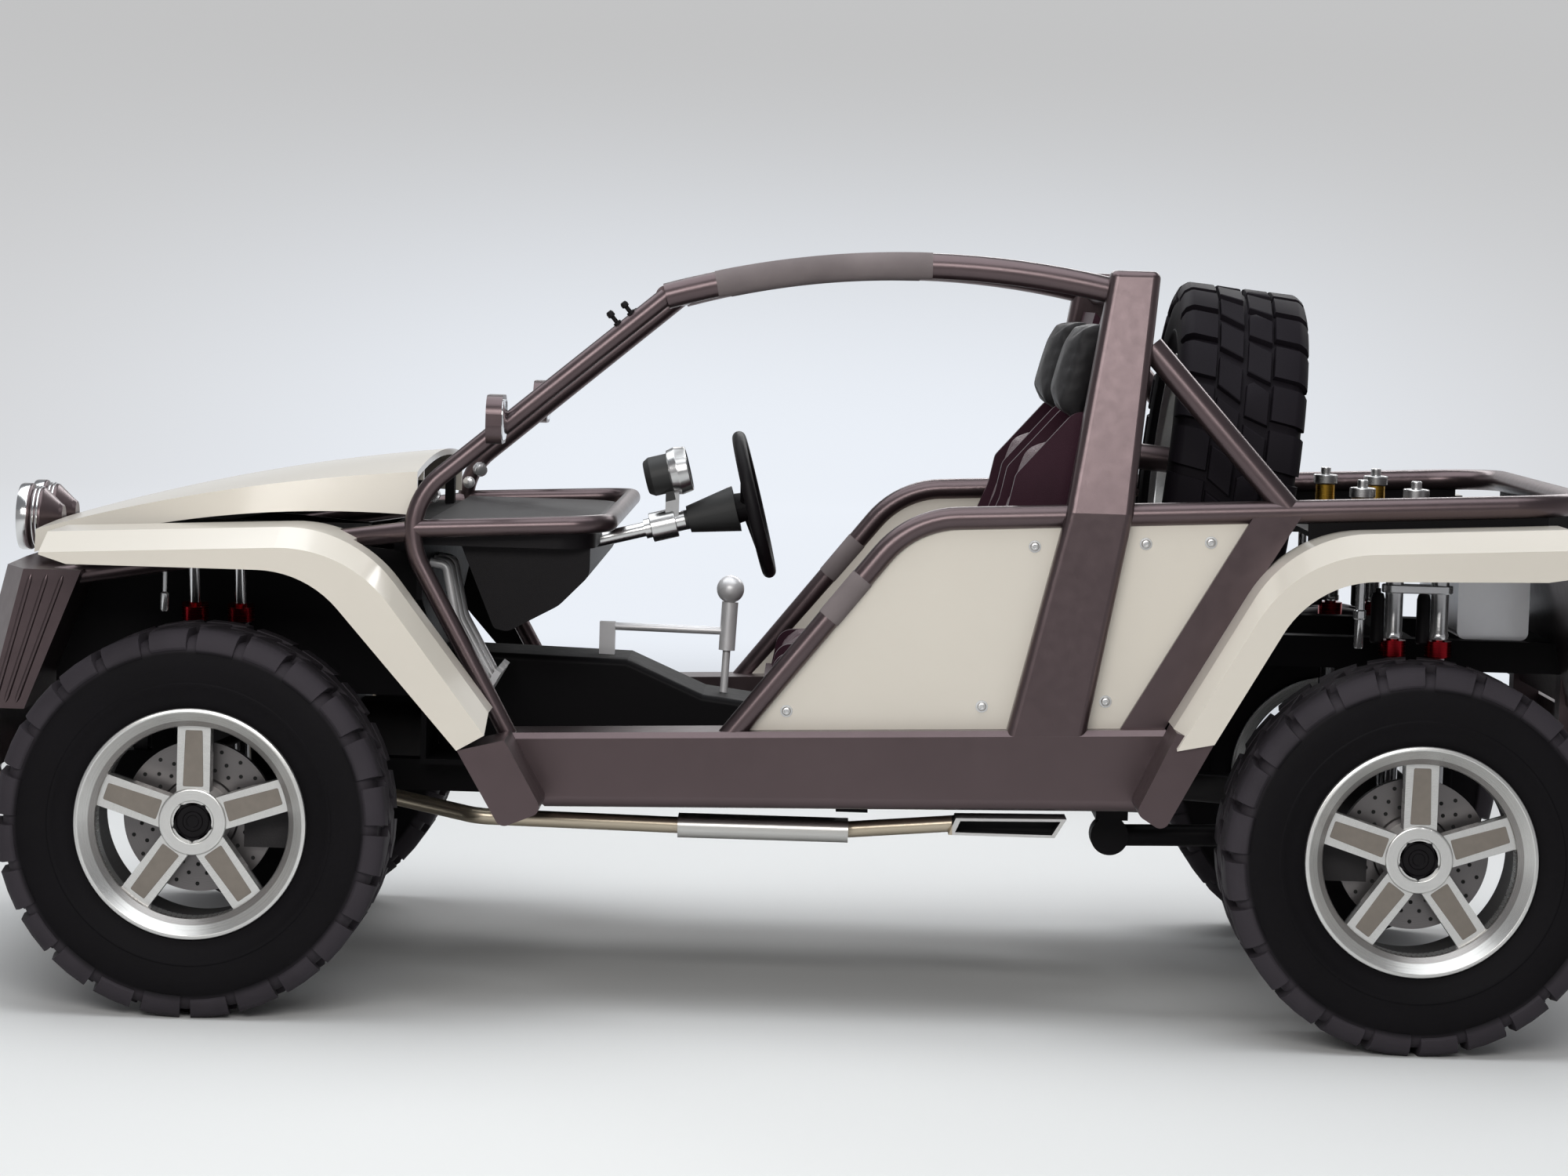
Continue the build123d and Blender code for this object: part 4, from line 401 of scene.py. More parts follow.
def metallic_paint(name, colour, roughness, metallic, coat=0.2, shine=0.3):
    finish = Finish(name, colour, roughness, metallic=metallic, coat_weight=coat, coat_roughness=0.25,
                    specular_ior_level=shine)
    flakes = finish.noise(1500.0, 1.0)
    cloud = finish.noise(5.0, 3.0)
    finish.set(base_color=finish.tint(flakes * 0.6 + cloud * 0.4, 0.30))
    finish.set(roughness=roughness - 0.05 + 0.12 * finish.noise(40.0, 3.0))
    finish.bump(flakes, 0.0001, 0.2)
    return finish.material


cream_panel = cream_paint("cream_panel_enamel")
cream_fender = cream_paint("cream_fender_enamel", paint_arch_shade=True)
taupe_frame = metallic_paint("taupe_frame_metallic", TAUPE, 0.31, 0.88, coat=0.12)
black_paint = metallic_paint("satin_black_paint", SOFT_BLACK, 0.52, 0.0, coat=0.02, shine=0.08)
print("materials so far", len(bpy.data.materials))

# %% [markdown]
# ## Wheel metal
# Rims are turned on a lathe, so their fine lines run round the axle: the distance from the nearest axle
# drives them. The dish inside the lip and the barrel behind it are painted darker as shade, and the barrel is
# also rougher. Discs are ground in coarser swirls.

# %% Wheel metal
ALLOY = (0.66, 0.655, 0.64)
BARREL_RADII = (0.150, 0.2185)
BARREL_DEPTH = 0.050
BARREL_SHADE_COLOUR = (0.16, 0.155, 0.155, 1.0)
DISH_RADII = (0.190, 0.2180)
DISH_DEPTH = 0.0865
DISH_SHADE_COLOUR = (0.36, 0.345, 0.335, 1.0)
front_half_track = joint_place["roll_front_left"].y


def axle_radius(finish):
    """Distance from the nearest road wheel's axle."""
    along = abs(finish.x - middle_x) - half_base
    return (along * along + (finish.z - front_hub.z) ** 2.0).sqrt()


def turned_alloy():
    finish = Finish("turned_alloy", ALLOY, 0.24, metallic=0.85)
    radius = axle_radius(finish)
    rings = finish.lines(radius, 2600.0)
    outward = abs(finish.y) - front_half_track
    # Painted shade: the recessed barrel and the dish step inside the lip are coloured darker.
    barrel_shade = radius.between(*BARREL_RADII) * (outward < BARREL_DEPTH)
    dish_shade = radius.between(*DISH_RADII) * (outward > DISH_DEPTH)
    colour = finish.mix(dish_shade, finish.tint(rings, 0.16), DISH_SHADE_COLOUR)
    colour = finish.mix(barrel_shade, colour, BARREL_SHADE_COLOUR)
    finish.set(base_color=colour, roughness=0.18 + 0.22 * rings + 0.2 * barrel_shade)
    finish.bump(rings, 0.0002, 0.35)
    return finish.material


def ground_steel():
    finish = Finish("ground_steel", (0.17, 0.16, 0.16), 0.34, metallic=1.0)
    swirl = finish.lines(axle_radius(finish), 900.0)
    finish.set(base_color=finish.tint(swirl, 0.3), roughness=0.24 + 0.25 * swirl)
    return finish.material


wheel_alloy = turned_alloy()
disc_steel = ground_steel()
print("materials so far", len(bpy.data.materials))

# %% [markdown]
# ## Bare and plated metal
# Other alloy is bead-blasted, and castings are pitted. Dampers are polished, with red anodised collars at
# one height, and their reservoirs have a gold band. The exhaust is straw-coloured where it runs hot, its
# silencer is brushed and its outlet is sooty inside.

# %% Metal finishes
COLLAR_LOW, COLLAR_HIGH = 0.817, 0.857
GOLD_BAND = (1.074, 1.152)
PIPE_STRAW = (0.52, 0.45, 0.35, 1.0)
SILENCER_SPAN = (-0.114, 0.260)
OUTLET_FRONT, OUTLET_FACE = -0.338, 0.6585
OUTLET_LOW, OUTLET_HIGH = 0.4150, 0.4470


def blasted_alloy(name, colour, roughness, metallic=1.0):
    finish = Finish(name, colour, roughness, metallic=metallic)
    grain = finish.noise(700.0, 2.0)
    cloud = finish.noise(9.0, 4.0)
    finish.set(base_color=finish.tint(cloud, 0.14), roughness=roughness - 0.06 + 0.16 * cloud)
    finish.bump(grain, 0.0003, 0.3)
    return finish.material


def cast_metal():
    finish = Finish("dark_casting", (0.020, 0.018, 0.019), 0.60, metallic=0.5)
    pits = finish.noise(260.0, 5.0)
    finish.set(base_color=finish.tint(finish.noise(14.0, 4.0), 0.35))
    finish.bump(pits, 0.0008, 0.5)
    return finish.material


def damper_metal():
    finish = Finish("polished_damper", (0.74, 0.74, 0.75), 0.14, metallic=1.0)
    collar = finish.z.between(COLLAR_LOW, COLLAR_HIGH)
    body = finish.z < COLLAR_LOW
    bright = finish.mix(body, finish.colour, (0.30, 0.30, 0.31, 1.0))
    finish.set(base_color=finish.mix(collar, bright, (0.30, 0.012, 0.018, 1.0)))
    finish.set(roughness=0.10 + 0.14 * finish.lines(finish.z, 900.0) + 0.08 * collar)
    return finish.material


def reservoir_metal():
    finish = Finish("gold_reservoir", (0.62, 0.62, 0.62), 0.22, metallic=1.0)
    gold = finish.z.between(*GOLD_BAND)
    finish.set(base_color=finish.mix(gold, finish.colour, (0.62, 0.36, 0.05, 1.0)))
    finish.set(roughness=0.18 + 0.2 * finish.lines(finish.z, 1200.0))
    return finish.material


def exhaust_metal():
    finish = Finish("heat_tinted_steel", (0.56, 0.55, 0.53), 0.28, metallic=1.0)
    brushed = finish.lines(finish.z + 0.35 * finish.y, 1600.0)
    silencer = finish.x.between(*SILENCER_SPAN)
    colour = finish.mix(silencer, PIPE_STRAW, finish.tint(brushed, 0.2))
    outlet = finish.x < OUTLET_FRONT
    pocket = outlet * (abs(finish.y) < OUTLET_FACE) * finish.z.between(OUTLET_LOW, OUTLET_HIGH)
    colour = finish.mix(outlet, colour, (0.62, 0.61, 0.60, 1.0))
    colour = finish.mix(pocket, colour, (0.006, 0.006, 0.007, 1.0))
    finish.set(base_color=colour, metallic=1.0 - pocket, roughness=0.22 + 0.2 * brushed + 0.4 * pocket)
    return finish.material


plain_alloy = blasted_alloy("blasted_alloy", (0.60, 0.60, 0.60), 0.34)
bright_alloy = blasted_alloy("bright_alloy", (0.72, 0.71, 0.72), 0.34, metallic=0.40)
tank_alloy = blasted_alloy("tank_alloy", (0.88, 0.88, 0.91), 0.30, metallic=0.9)
dull_alloy = blasted_alloy("dull_alloy", (0.060, 0.058, 0.060), 0.50)
dark_casting = cast_metal()
damper_finish = damper_metal()
reservoir_finish = reservoir_metal()
exhaust_finish = exhaust_metal()
print("materials so far", len(bpy.data.materials))

# %% [markdown]
# ## Rubber, plastic, hide and glass
# Tyre rubber is almost black, and its tread and shoulders are lighter, partly dust and partly a painted
# highlight. Moulded plastic has a fine pebble, and the seat's hide a larger one with creases. The lamps are
# clear glass over a bright bowl, and red at the tail.

# %% Soft and clear finishes
spare_low, spare_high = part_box("spare_tyre")
spare_centre = (spare_low + spare_high) / 2
LUG_DUST_AND_HIGHLIGHT = (0.040, 0.035, 0.041, 1.0)
FAINT_DUST_AND_HIGHLIGHT = (0.011, 0.009, 0.012, 1.0)
DUST_AND_HIGHLIGHT_RADII = (0.362, 0.378)


def rubber(name, colour, roughness, grain_scale, grain, tread_radius=None, dust_and_highlight_colour=LUG_DUST_AND_HIGHLIGHT):
    """Rubber; where a distance from the axle is given, the lugs and shoulders are lighter, partly dust and
    partly a painted highlight.
    """
    finish = Finish(name, colour, roughness, specular_ior_level=0.09)
    dust = finish.noise(7.0, 5.0)
    shade = finish.tint(dust, 0.4)
    if tread_radius:
        # Lighter tread and shoulders: partly dust, partly a painted highlight where they catch the light.
        shade = finish.mix(tread_radius(finish).ramp(*DUST_AND_HIGHLIGHT_RADII) * (0.5 + dust), shade, dust_and_highlight_colour)
    finish.set(base_color=shade, roughness=roughness - 0.1 + 0.2 * dust)
    finish.bump(finish.noise(grain_scale, 3.0), grain, 0.4)
    return finish.material


def spare_radius(finish):
    return (finish.y * finish.y + (finish.z - spare_centre.z) ** 2.0).sqrt()


def pebbled(name, colour, roughness, scale, depth):
    finish = Finish(name, colour, roughness, specular_ior_level=0.13)
    cells = finish.cells(scale, "F1")
    finish.set(base_color=finish.tint(finish.noise(11.0, 3.0), 0.2))
    finish.set(roughness=roughness - 0.06 + 0.14 * cells)
    finish.bump(cells, depth, 0.5)
    return finish.material


def hide(name, colour):
    finish = Finish(name, colour, 0.46, sheen_weight=0.05, specular_ior_level=0.35)
    pores = finish.cells(520.0, "DISTANCE_TO_EDGE")
    creases = finish.noise(38.0, 5.0)
    finish.set(base_color=finish.tint(creases, 0.35), roughness=0.36 + 0.22 * creases)
    finish.bump(pores.ramp(0.0, 0.12) * 0.6 + creases * 0.4, 0.0012, 0.5)
    return finish.material


def lens_glass():
    finish = Finish("lamp_glass", (0.95, 0.97, 1.0), 0.05, ior=1.5)
    flutes = (finish.y * 520.0).math("SINE")
    tail = finish.x < 0.0
    finish.set(base_color=finish.mix(tail, finish.colour, (0.35, 0.008, 0.010, 1.0)))
    finish.set(alpha=0.34 + 0.6 * tail)
    finish.bump(flutes, 0.0012, 0.35)
    return finish.material


TYRE_BLACK = (0.0048, 0.0042, 0.0052)
tyre_rubber = rubber("tyre_rubber", TYRE_BLACK, 0.62, 320.0, 0.0006, axle_radius)
spare_rubber = rubber("spare_rubber", TYRE_BLACK, 0.62, 320.0, 0.0006, spare_radius, FAINT_DUST_AND_HIGHLIGHT)
sleeve_rubber = rubber("grip_rubber", (0.170, 0.145, 0.146), 0.80, 900.0, 0.0005)
moulded_black = pebbled("moulded_black", (0.0055, 0.0045, 0.0055), 0.42, 900.0, 0.0004)
shell_wine = pebbled("seat_shell_moulding", (0.030, 0.0085, 0.0165), 0.36, 600.0, 0.0003)
seat_hide = hide("burgundy_hide", (0.050, 0.0115, 0.021))
head_hide = hide("black_hide", (0.006, 0.005, 0.006))
lamp_glass = lens_glass()
print("materials so far", len(bpy.data.materials))

# %% [markdown]
# ## Steering column
# One piece of the model carries three finishes: a black rubber boot behind the wheel, a bright alloy column
# and the black gauge cup. The distance along the column's axis and the height above it tell them apart.

# %% Column finish
steer_joint = next(joint for joint in frame["joints"] if joint["name"] == "steering_wheel_turn")
steer_axis = Vector(steer_joint["axis"]).normalized()
steer_centre = joint_place["steering_wheel_turn"]
BOOT_END = 0.158
CUP_ABOVE = 0.050
GAUGE_CENTRE = Vector((0.3006, 0.330, 1.163))
CUP_START = 0.0065
DIAL_START = -0.0285
DIAL_RADIUS = 0.0445


def column_metal():
    finish = Finish("column_alloy", (0.62, 0.62, 0.62), 0.26, metallic=1.0)
    across = finish.x - steer_centre.x
    rise = finish.z - steer_centre.z
    along = -steer_axis.x * across - steer_axis.z * rise
    above = rise * -steer_axis.x + across * steer_axis.z
    gauge_across = finish.x - GAUGE_CENTRE.x
    gauge_rise = finish.z - GAUGE_CENTRE.z
    ahead = -steer_axis.x * gauge_across - steer_axis.z * gauge_rise
    off_axis = gauge_rise * -steer_axis.x + gauge_across * steer_axis.z
    gauge_radius = (off_axis * off_axis + (finish.y - GAUGE_CENTRE.y) ** 2.0).sqrt()
    cup = (ahead > CUP_START) * (above > CUP_ABOVE)
    dial = (ahead < DIAL_START) * (gauge_radius < DIAL_RADIUS)
    boot = (along < BOOT_END) * (above < CUP_ABOVE)
    dark = (boot + cup + dial).math("MINIMUM", 1.0)
    colour = finish.mix(dark, finish.tint(finish.noise(20.0, 3.0), 0.15), (0.012, 0.012, 0.012, 1.0))
    finish.set(base_color=colour, metallic=1.0 - dark, roughness=0.24 + 0.3 * dark)
    finish.bump(finish.noise(500.0), 0.0003, 0.3)
    return finish.material


column_finish = column_metal()
print("column axis", [round(value, 3) for value in steer_axis])

# %% [markdown]
# ## Finishes on the CAD pieces
# A table lists the nodes that take each finish. Only their materials change, and their shapes stay the CAD's.

# %% Dress the nodes
WHEEL_NAMES = ("front_left", "front_right", "rear_left", "rear_right")
node_finish = {
    cream_panel: ("side_panels", "hood"),
    cream_fender: ("front_fenders", "rear_fenders"),
    taupe_frame: ("sills", "main_hoop", "pillar_frame", "roof_rails", "dash_hoop", "side_rails",
                  "rear_braces", "front_rails", "flare_tips", "nose_panel", "front_bumper", "rear_bumper",
                  "tail_panel", "mirrors", "spare_carrier", "head_lamps"),
    # floor_pan, bulkhead and inner_wings take the black paint as painted shade for the dark cockpit floor and
    # the dark behind the wheel arches.
    black_paint: ("chassis_rails", "firewall", "rear_deck", "cowl", "rear_links", "front_arms", "floor_pan",
                  "bulkhead", "inner_wings"),
    wheel_alloy: ("spare_rim",) + tuple(f"rim_{name}" for name in WHEEL_NAMES),
    disc_steel: tuple(f"disc_{name}" for name in WHEEL_NAMES),
    tyre_rubber: tuple(f"tyre_{name}" for name in WHEEL_NAMES),
    spare_rubber: ("spare_tyre",),
    bright_alloy: ("controls",),
    tank_alloy: ("fuel_tank",),
    dull_alloy: ("engine",),
    dark_casting: ("knuckle_left", "knuckle_right", "driveline", "rear_axle"),
    damper_finish: ("dampers",),
    reservoir_finish: ("reservoirs",),
    exhaust_finish: ("exhaust",),
    moulded_black: ("grille", "dash_tub", "steering_wheel"),
    column_finish: ("steering_column",),
    shell_wine: ("seat_shells",),
    seat_hide: ("seat_pads",),
    lamp_glass: ("lamp_lenses",),
}
dressed = set()
for finish, names in node_finish.items():
    for name in names:
        nodes[name].data.materials.clear()
        nodes[name].data.materials.append(finish)
        dressed.add(name)
print("dressed", len(dressed), "left plain", sorted(set(nodes) - dressed))

# %% [markdown]
# ## Helpers for pieces
# lathe turns a profile about the car's Y axis, which suits tyres and wheel fittings. piece makes a mesh an
# object with a finish, a body to ride on and a material slot.

# %% Piece helpers
SMOOTH_ANGLE = radians(34)


def lathe(profile, segments, name, closed=False):
    """Mesh turned about Y from rows of (radius, y)."""
    work = bmesh.new()
    rings = []
    for radius, y in profile:
        if radius > 0:
            rings.append([work.verts.new((x, y, z)) for x, z in circle(radius, segments)])
        else:
            rings.append([work.verts.new((0, y, 0))] * segments)
    skin(work, rings + rings[:1] if closed else rings)
    return outward_mesh(work, name)


def piece(name, mesh, finish, body, slot):
    """A finished mesh becomes an object that rides on a body."""
    mesh.shade_smooth()
    mesh.set_sharp_from_angle(angle=SMOOTH_ANGLE)
    mesh.materials.clear()
    mesh.materials.append(finish)
    thing = bpy.data.objects.new(name, mesh)
    bpy.context.scene.collection.objects.link(thing)
    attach(thing, body)
    return thing


def joined(meshes, name):
    work = bmesh.new()
    for mesh in meshes:
        work.from_mesh(mesh)
    return mesh_of(work, name)


def evaluated(thing):
    """A plain mesh of an object with its modifiers applied."""
    graph = bpy.context.evaluated_depsgraph_get()
    return bpy.data.meshes.new_from_object(thing.evaluated_get(graph), depsgraph=graph)


print("smooth up to", round(SMOOTH_ANGLE, 3), "radians")

# %% [markdown]
# ## Geometry Nodes for what repeats
# ring_tree sets a small shape round an axle: its inputs are the count, the radius, the first angle, the
# axle's place and the finish. It ends in realized instances, so what grow returns is a plain mesh.

# %% Geometry Nodes


def start_tree(name, rows):
    """A Geometry Nodes tree with named inputs, from rows of (name, socket type)."""
    tree = bpy.data.node_groups.new(name, "GeometryNodeTree")
    for title, kind in (("Geometry", "Geometry"), *rows, ("Finish", "Material")):
        tree.interface.new_socket(title, in_out="INPUT", socket_type="NodeSocket" + kind)
    tree.interface.new_socket("Geometry", in_out="OUTPUT", socket_type="NodeSocketGeometry")
    build = Nodes(tree)
    entry = tree.nodes.new("NodeGroupInput")
    return build, {socket.name: Value(build, socket) for socket in entry.outputs if socket.name}


def end_tree(build, given, copies):
    """Make the copies real, give them their finish and lead them out."""
    solid = build.make("GeometryNodeRealizeInstances", None, {"Geometry": copies})
    finished = build.make("GeometryNodeSetMaterial", None, {"Geometry": solid, "Material": given["Finish"]})
    leave = build.tree.nodes.new("NodeGroupOutput")
    build.tree.links.new(finished.socket, leave.inputs[0])
    return build.tree


def build_ring_tree():
    rows = (("Count", "Int"), ("Radius", "Float"), ("First Angle", "Float"), ("Axle", "Vector"))
    build, given = start_tree("set_round_an_axle", rows)
    angle = build.make("GeometryNodeInputIndex") * (tau / given["Count"]) + given["First Angle"]
    spot = build.make("ShaderNodeCombineXYZ", None, {"X": given["Radius"] * angle.math("COSINE"),
                                                      "Z": given["Radius"] * angle.math("SINE")})
    turn = build.make("ShaderNodeCombineXYZ", None, {"Y": angle * -1.0})
    points = build.make("GeometryNodePoints", None, {"Count": given["Count"], "Position": spot})
    copies = build.make("GeometryNodeInstanceOnPoints", None,
                        {"Points": points, "Instance": given["Geometry"], "Rotation": turn})
    placed = build.make("GeometryNodeTransform", None, {"Geometry": copies, "Translation": given["Axle"]})
    return end_tree(build, given, placed)


def grow(mesh, tree, **inputs):
    """Run a Geometry Nodes tree on a mesh and return the plain mesh that it makes."""
    host = bpy.data.objects.new("host", mesh)
    bpy.context.scene.collection.objects.link(host)
    modifier = host.modifiers.new("grow", "NODES")
    modifier.node_group = tree
    names = {item.name: item.identifier for item in tree.interface.items_tree
             if item.item_type == "SOCKET" and item.in_out == "INPUT"}
    for name, value in inputs.items():
        modifier[names[name.replace("_", " ").title()]] = value
    made = evaluated(host)
    host.modifiers.clear()
    bpy.data.objects.remove(host)
    return made


ring_tree = build_ring_tree()
print("ring tree nodes", len(ring_tree.nodes))

# %% [markdown]
# ## Tread
# A mud tyre: a turned carcass, and one pitch of tread that repeats round it. A pitch holds two uneven
# shoulder lugs a side and slanted blocks down the middle. Lugs are built straight in polar coordinates, so
# they follow the tyre's curve, and the ring tree copies the pitch round the axle.

# %% Tread
TYRE_PITCHES = 12
LUG_TIP = 0.4138
LUG_ROOT = 0.3975
TYRE_HALF_WIDTH = 0.145
LUG_LEAN = 0.625
# radius, half width of the carcass from bead to crown
CARCASS = ((0.2305, 0.116), (0.250, 0.1195), (0.257, 0.1245), (0.272, 0.1310), (0.289, 0.1365),
           (0.292, 0.1390), (0.299, 0.1400), (0.302, 0.1385), (0.331, 0.1430), (0.352, 0.1420),
           (0.370, 0.1385), (0.384, 0.132), (0.394, 0.122), (LUG_ROOT, 0.106), (LUG_ROOT + 0.001, 0.0))
CARCASS_SEGMENTS = 96
# first and last angle as shares of a pitch, lowest radius on the sidewall
SHOULDER_LUGS = ((0.050, 0.448, 0.364), (0.556, 0.940, 0.371))
# corners as (share of a pitch, y) for the slanted middle blocks
MIDDLE_BLOCKS = (
    ((0.02, 0.058), (0.40, 0.058), (0.52, 0.006), (0.12, 0.006)),
    ((0.54, 0.058), (0.90, 0.058), (1.00, 0.020), (0.96, 0.006), (0.62, 0.006)),
    ((0.28, -0.006), (0.64, -0.006), (0.78, -0.058), (0.40, -0.058)),
    ((0.76, -0.006), (1.14, -0.006), (1.26, -0.058), (0.92, -0.058)),
)


def polar(radius, share, y):
    angle = tau / TYRE_PITCHES * share
    return (radius * cos(angle), y, radius * sin(angle))


def add_shoulder_lug(work, first, last, foot, side):
    """Lug that wraps over the shoulder: one section at each end and one between."""
    section = ((foot, 0.1405), (foot + 0.006, 0.1446), (0.384, 0.1446), (0.402, 0.1370),
               (LUG_TIP - 0.002, 0.124), (LUG_TIP, 0.118), (LUG_TIP, 0.066), (LUG_ROOT - 0.006, 0.062),
               (0.384, 0.128))
    rings = [[work.verts.new(polar(radius, share + LUG_LEAN * side * (TYRE_HALF_WIDTH - y), side * y))
              for radius, y in section] for share in (first, (first + last) / 2, last)]
    skin(work, rings, (rings[0], rings[-1]))


def add_middle_block(work, corners):
    """Block with drafted sides and a small step at its top edge."""
    middle_share = sum(share for share, _ in corners) / len(corners)
    middle_y = sum(y for _, y in corners) / len(corners)
    rings = []
    for radius, shrink in ((LUG_ROOT - 0.004, 1.06), (LUG_TIP - 0.0015, 1.0), (LUG_TIP, 0.93)):
        rings.append([work.verts.new(polar(radius, middle_share + (share - middle_share) * shrink,
                                           middle_y + (y - middle_y) * shrink)) for share, y in corners])
    skin(work, rings, rings[-1:])


def tread_pitch():
    work = bmesh.new()
    for side in (1, -1):
        for lug in SHOULDER_LUGS:
            add_shoulder_lug(work, *lug, side)
    for corners in MIDDLE_BLOCKS:
        add_middle_block(work, corners)
    return outward_mesh(work, "tread_pitch")


print("lugs a side", TYRE_PITCHES * len(SHOULDER_LUGS))

# %% [markdown]
# ## Tyres on their wheels
# The carcass and the tread are joined to one mesh a wheel, which takes the place of the model's plainer
# tyre. The spare leans a little on its carrier, so its tyre is turned across the car and tilted.

# %% Tyres
SPARE_TILT = radians(5.7)


def tyre_mesh(name):
    profile = CARCASS + tuple((radius, -y) for radius, y in reversed(CARCASS[:-1]))
    carcass = lathe(profile, CARCASS_SEGMENTS, "carcass", closed=True)
    tread = grow(tread_pitch(), ring_tree, count=TYRE_PITCHES, radius=0.0, first_angle=0.0,
                 axle=(0.0, 0.0, 0.0), finish=tyre_rubber)
    return joined((carcass, tread), name)


for name in WHEEL_NAMES:
    mesh = tyre_mesh(f"tread_tyre_{name}")
    mesh.transform(Matrix.Translation(joint_place[f"roll_{name}"]))
    tyre = piece(f"tread_tyre_{name}", mesh, tyre_rubber, f"wheel_{name}", "tyre")
    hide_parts(f"tyre_{name}")

spare_turn = Matrix.Rotation(-SPARE_TILT, 4, "Y") @ Matrix.Rotation(pi / 2, 4, "Z")
spare_mesh = tyre_mesh("tread_tyre_spare")
spare_mesh.transform(Matrix.Translation(spare_centre) @ spare_turn)
spare = piece("tread_tyre_spare", spare_mesh, spare_rubber, "chassis", "tyre")
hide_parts("spare_tyre")
print("tyre triangles", sum(len(face.vertices) - 2 for face in spare_mesh.polygons))

# %% [markdown]
# ## Wheel fittings
# Each spoke has a sand-coloured inlay plate over its recess, a little wider at the hub, and the hub has a
# black cap inside a ring. The disc behind is drilled in rows, and each hole is a dark spot on its face:
# painted shade where the hole shows. Inlays and holes repeat round the axle, so they come from the ring tree,
# one mesh a wheel, and the cap is turned.

# %% Wheel fittings
INLAY_COLOUR = (0.20, 0.175, 0.150)
SPOKES = 5
INLAY_RADIUS = 0.1350
INLAY_LENGTH = 0.120
INLAY_WIDTHS = (0.0365, 0.0435)
INLAY_FLOOR = 0.0838
INLAY_TOP = 0.0852
INLAY_CORNER = 0.003
HOLE_FACE = -0.0086
HOLE_RADIUS = 0.0046
# radius, distance outward of the hub cap
CAP = ((0.0, 0.0795), (0.012, 0.0795), (0.014, 0.0815), (0.020, 0.0815), (0.022, 0.0790), (0.033, 0.0790),
       (0.036, 0.0840), (0.0405, 0.0840), (0.0415, 0.0782), (0.0, 0.0782))
# radius of a row, holes in it, first angle
DRILL_ROWS = ((0.104, 20, 0.0), (0.124, 20, 0.16), (0.146, 20, 0.32))


def inlay_metal():
    finish = Finish("sand_inlay", INLAY_COLOUR, 0.44, metallic=0.35)
    finish.set(base_color=finish.tint(finish.noise(60.0, 3.0), 0.12))
    finish.bump(finish.noise(1100.0), 0.0002, 0.4)
    return finish.material


sand_inlay = inlay_metal()
# Painted shade: drilled holes are near-black spots instead of openings.
hole_shade_finish = Finish("drilled_hole", (0.004, 0.004, 0.004), 0.8)
hole_shade_finish.set(base_color=hole_shade_finish.tint(hole_shade_finish.noise(90.0), 0.3))


def plate_mesh(layers, half_length, half_widths, corner, steps, place):
    """Rounded plate from layers of (depth, shrink); place turns (along, across, depth) into a point."""
    rows = []
    for depth, shrink in layers:
        row = []
        for end, side, first in ((1, 1, 0), (-1, 1, 1), (-1, -1, 2), (1, -1, 3)):
            for step in range(steps):
                angle = pi / 2 * (first + step / (steps - 1))
                along = end * (half_length - corner) + (corner - shrink) * cos(angle)
                across = side * (half_widths[end < 0] - corner) + (corner - shrink) * sin(angle)
                row.append(place(along, across, depth))
        rows.append(row)
    return skinned(rows, "plate")


def inlay_mesh(side):
    """Long plate with a bevelled top, lying along +X and facing outward."""
    layers = ((INLAY_FLOOR, 0.0), (INLAY_TOP - 0.0006, 0.0), (INLAY_TOP, 0.0008))
    half_widths = [width / 2 for width in INLAY_WIDTHS]
    return plate_mesh(layers, INLAY_LENGTH / 2, half_widths, INLAY_CORNER, 4,
                      lambda along, across, depth: (along, side * depth, across))


def hole_shade_mesh(side):
    """Dark eight-sided spot just off the disc's face, painted shade where a drilled hole shows."""
    work = bmesh.new()
    spot = [work.verts.new((x, side * HOLE_FACE, z)) for x, z in circle(HOLE_RADIUS, 8)]
    work.faces.new(spot if side < 0 else spot[::-1])
    return mesh_of(work, "drilled_hole")


def moved(mesh, place):
    mesh.transform(Matrix.Translation(place))
    return mesh


for name in WHEEL_NAMES:
    axle = joint_place[f"roll_{name}"]
    side = 1 if axle.y > 0 else -1
    inlays = grow(inlay_mesh(side), ring_tree, count=SPOKES, radius=INLAY_RADIUS, first_angle=pi / 2,
                  axle=axle, finish=sand_inlay)
    piece(f"spoke_inlays_{name}", inlays, sand_inlay, f"wheel_{name}", "machined_alloy")
    cap = lathe([(radius, side * y) for radius, y in CAP], 40, "hub_cap")
    piece(f"hub_cap_{name}", moved(cap, axle), moulded_black, f"wheel_{name}", "black_plastic")
    rows = [grow(hole_shade_mesh(side), ring_tree, count=count, radius=radius, first_angle=first, axle=axle,
                 finish=hole_shade_finish.material) for radius, count, first in DRILL_ROWS]
    hole_shades = joined(rows, "disc_holes")
    piece(f"disc_holes_{name}", hole_shades, hole_shade_finish.material, f"wheel_{name}", "brake_steel")
print("spoke inlays", SPOKES * len(WHEEL_NAMES))

# %% [markdown]
# ## Panel bolts
# The cream side panels are held by button-head bolts near their corners. One bolt is turned with its washer
# and a round socket, and a second tree copies it to the points of a small mesh, on both sides of the car.

# %% Panel bolts
PANEL_FACE = 0.652
# radius, height of a button head on its washer, with a socket in the middle
BOLT = ((0.0, 0.0028), (0.0040, 0.0028), (0.0046, 0.0064), (0.0076, 0.0058), (0.0094, 0.0036),
        (0.0098, 0.0016), (0.0132, 0.0014), (0.0136, 0.0))
# x, z of each bolt on a side panel
PANEL_BOLTS = ((0.029, 0.668), (-0.393, 0.691), (-0.496, 1.041), (-0.660, 0.710), (-0.735, 1.054),
               (-0.875, 1.061))


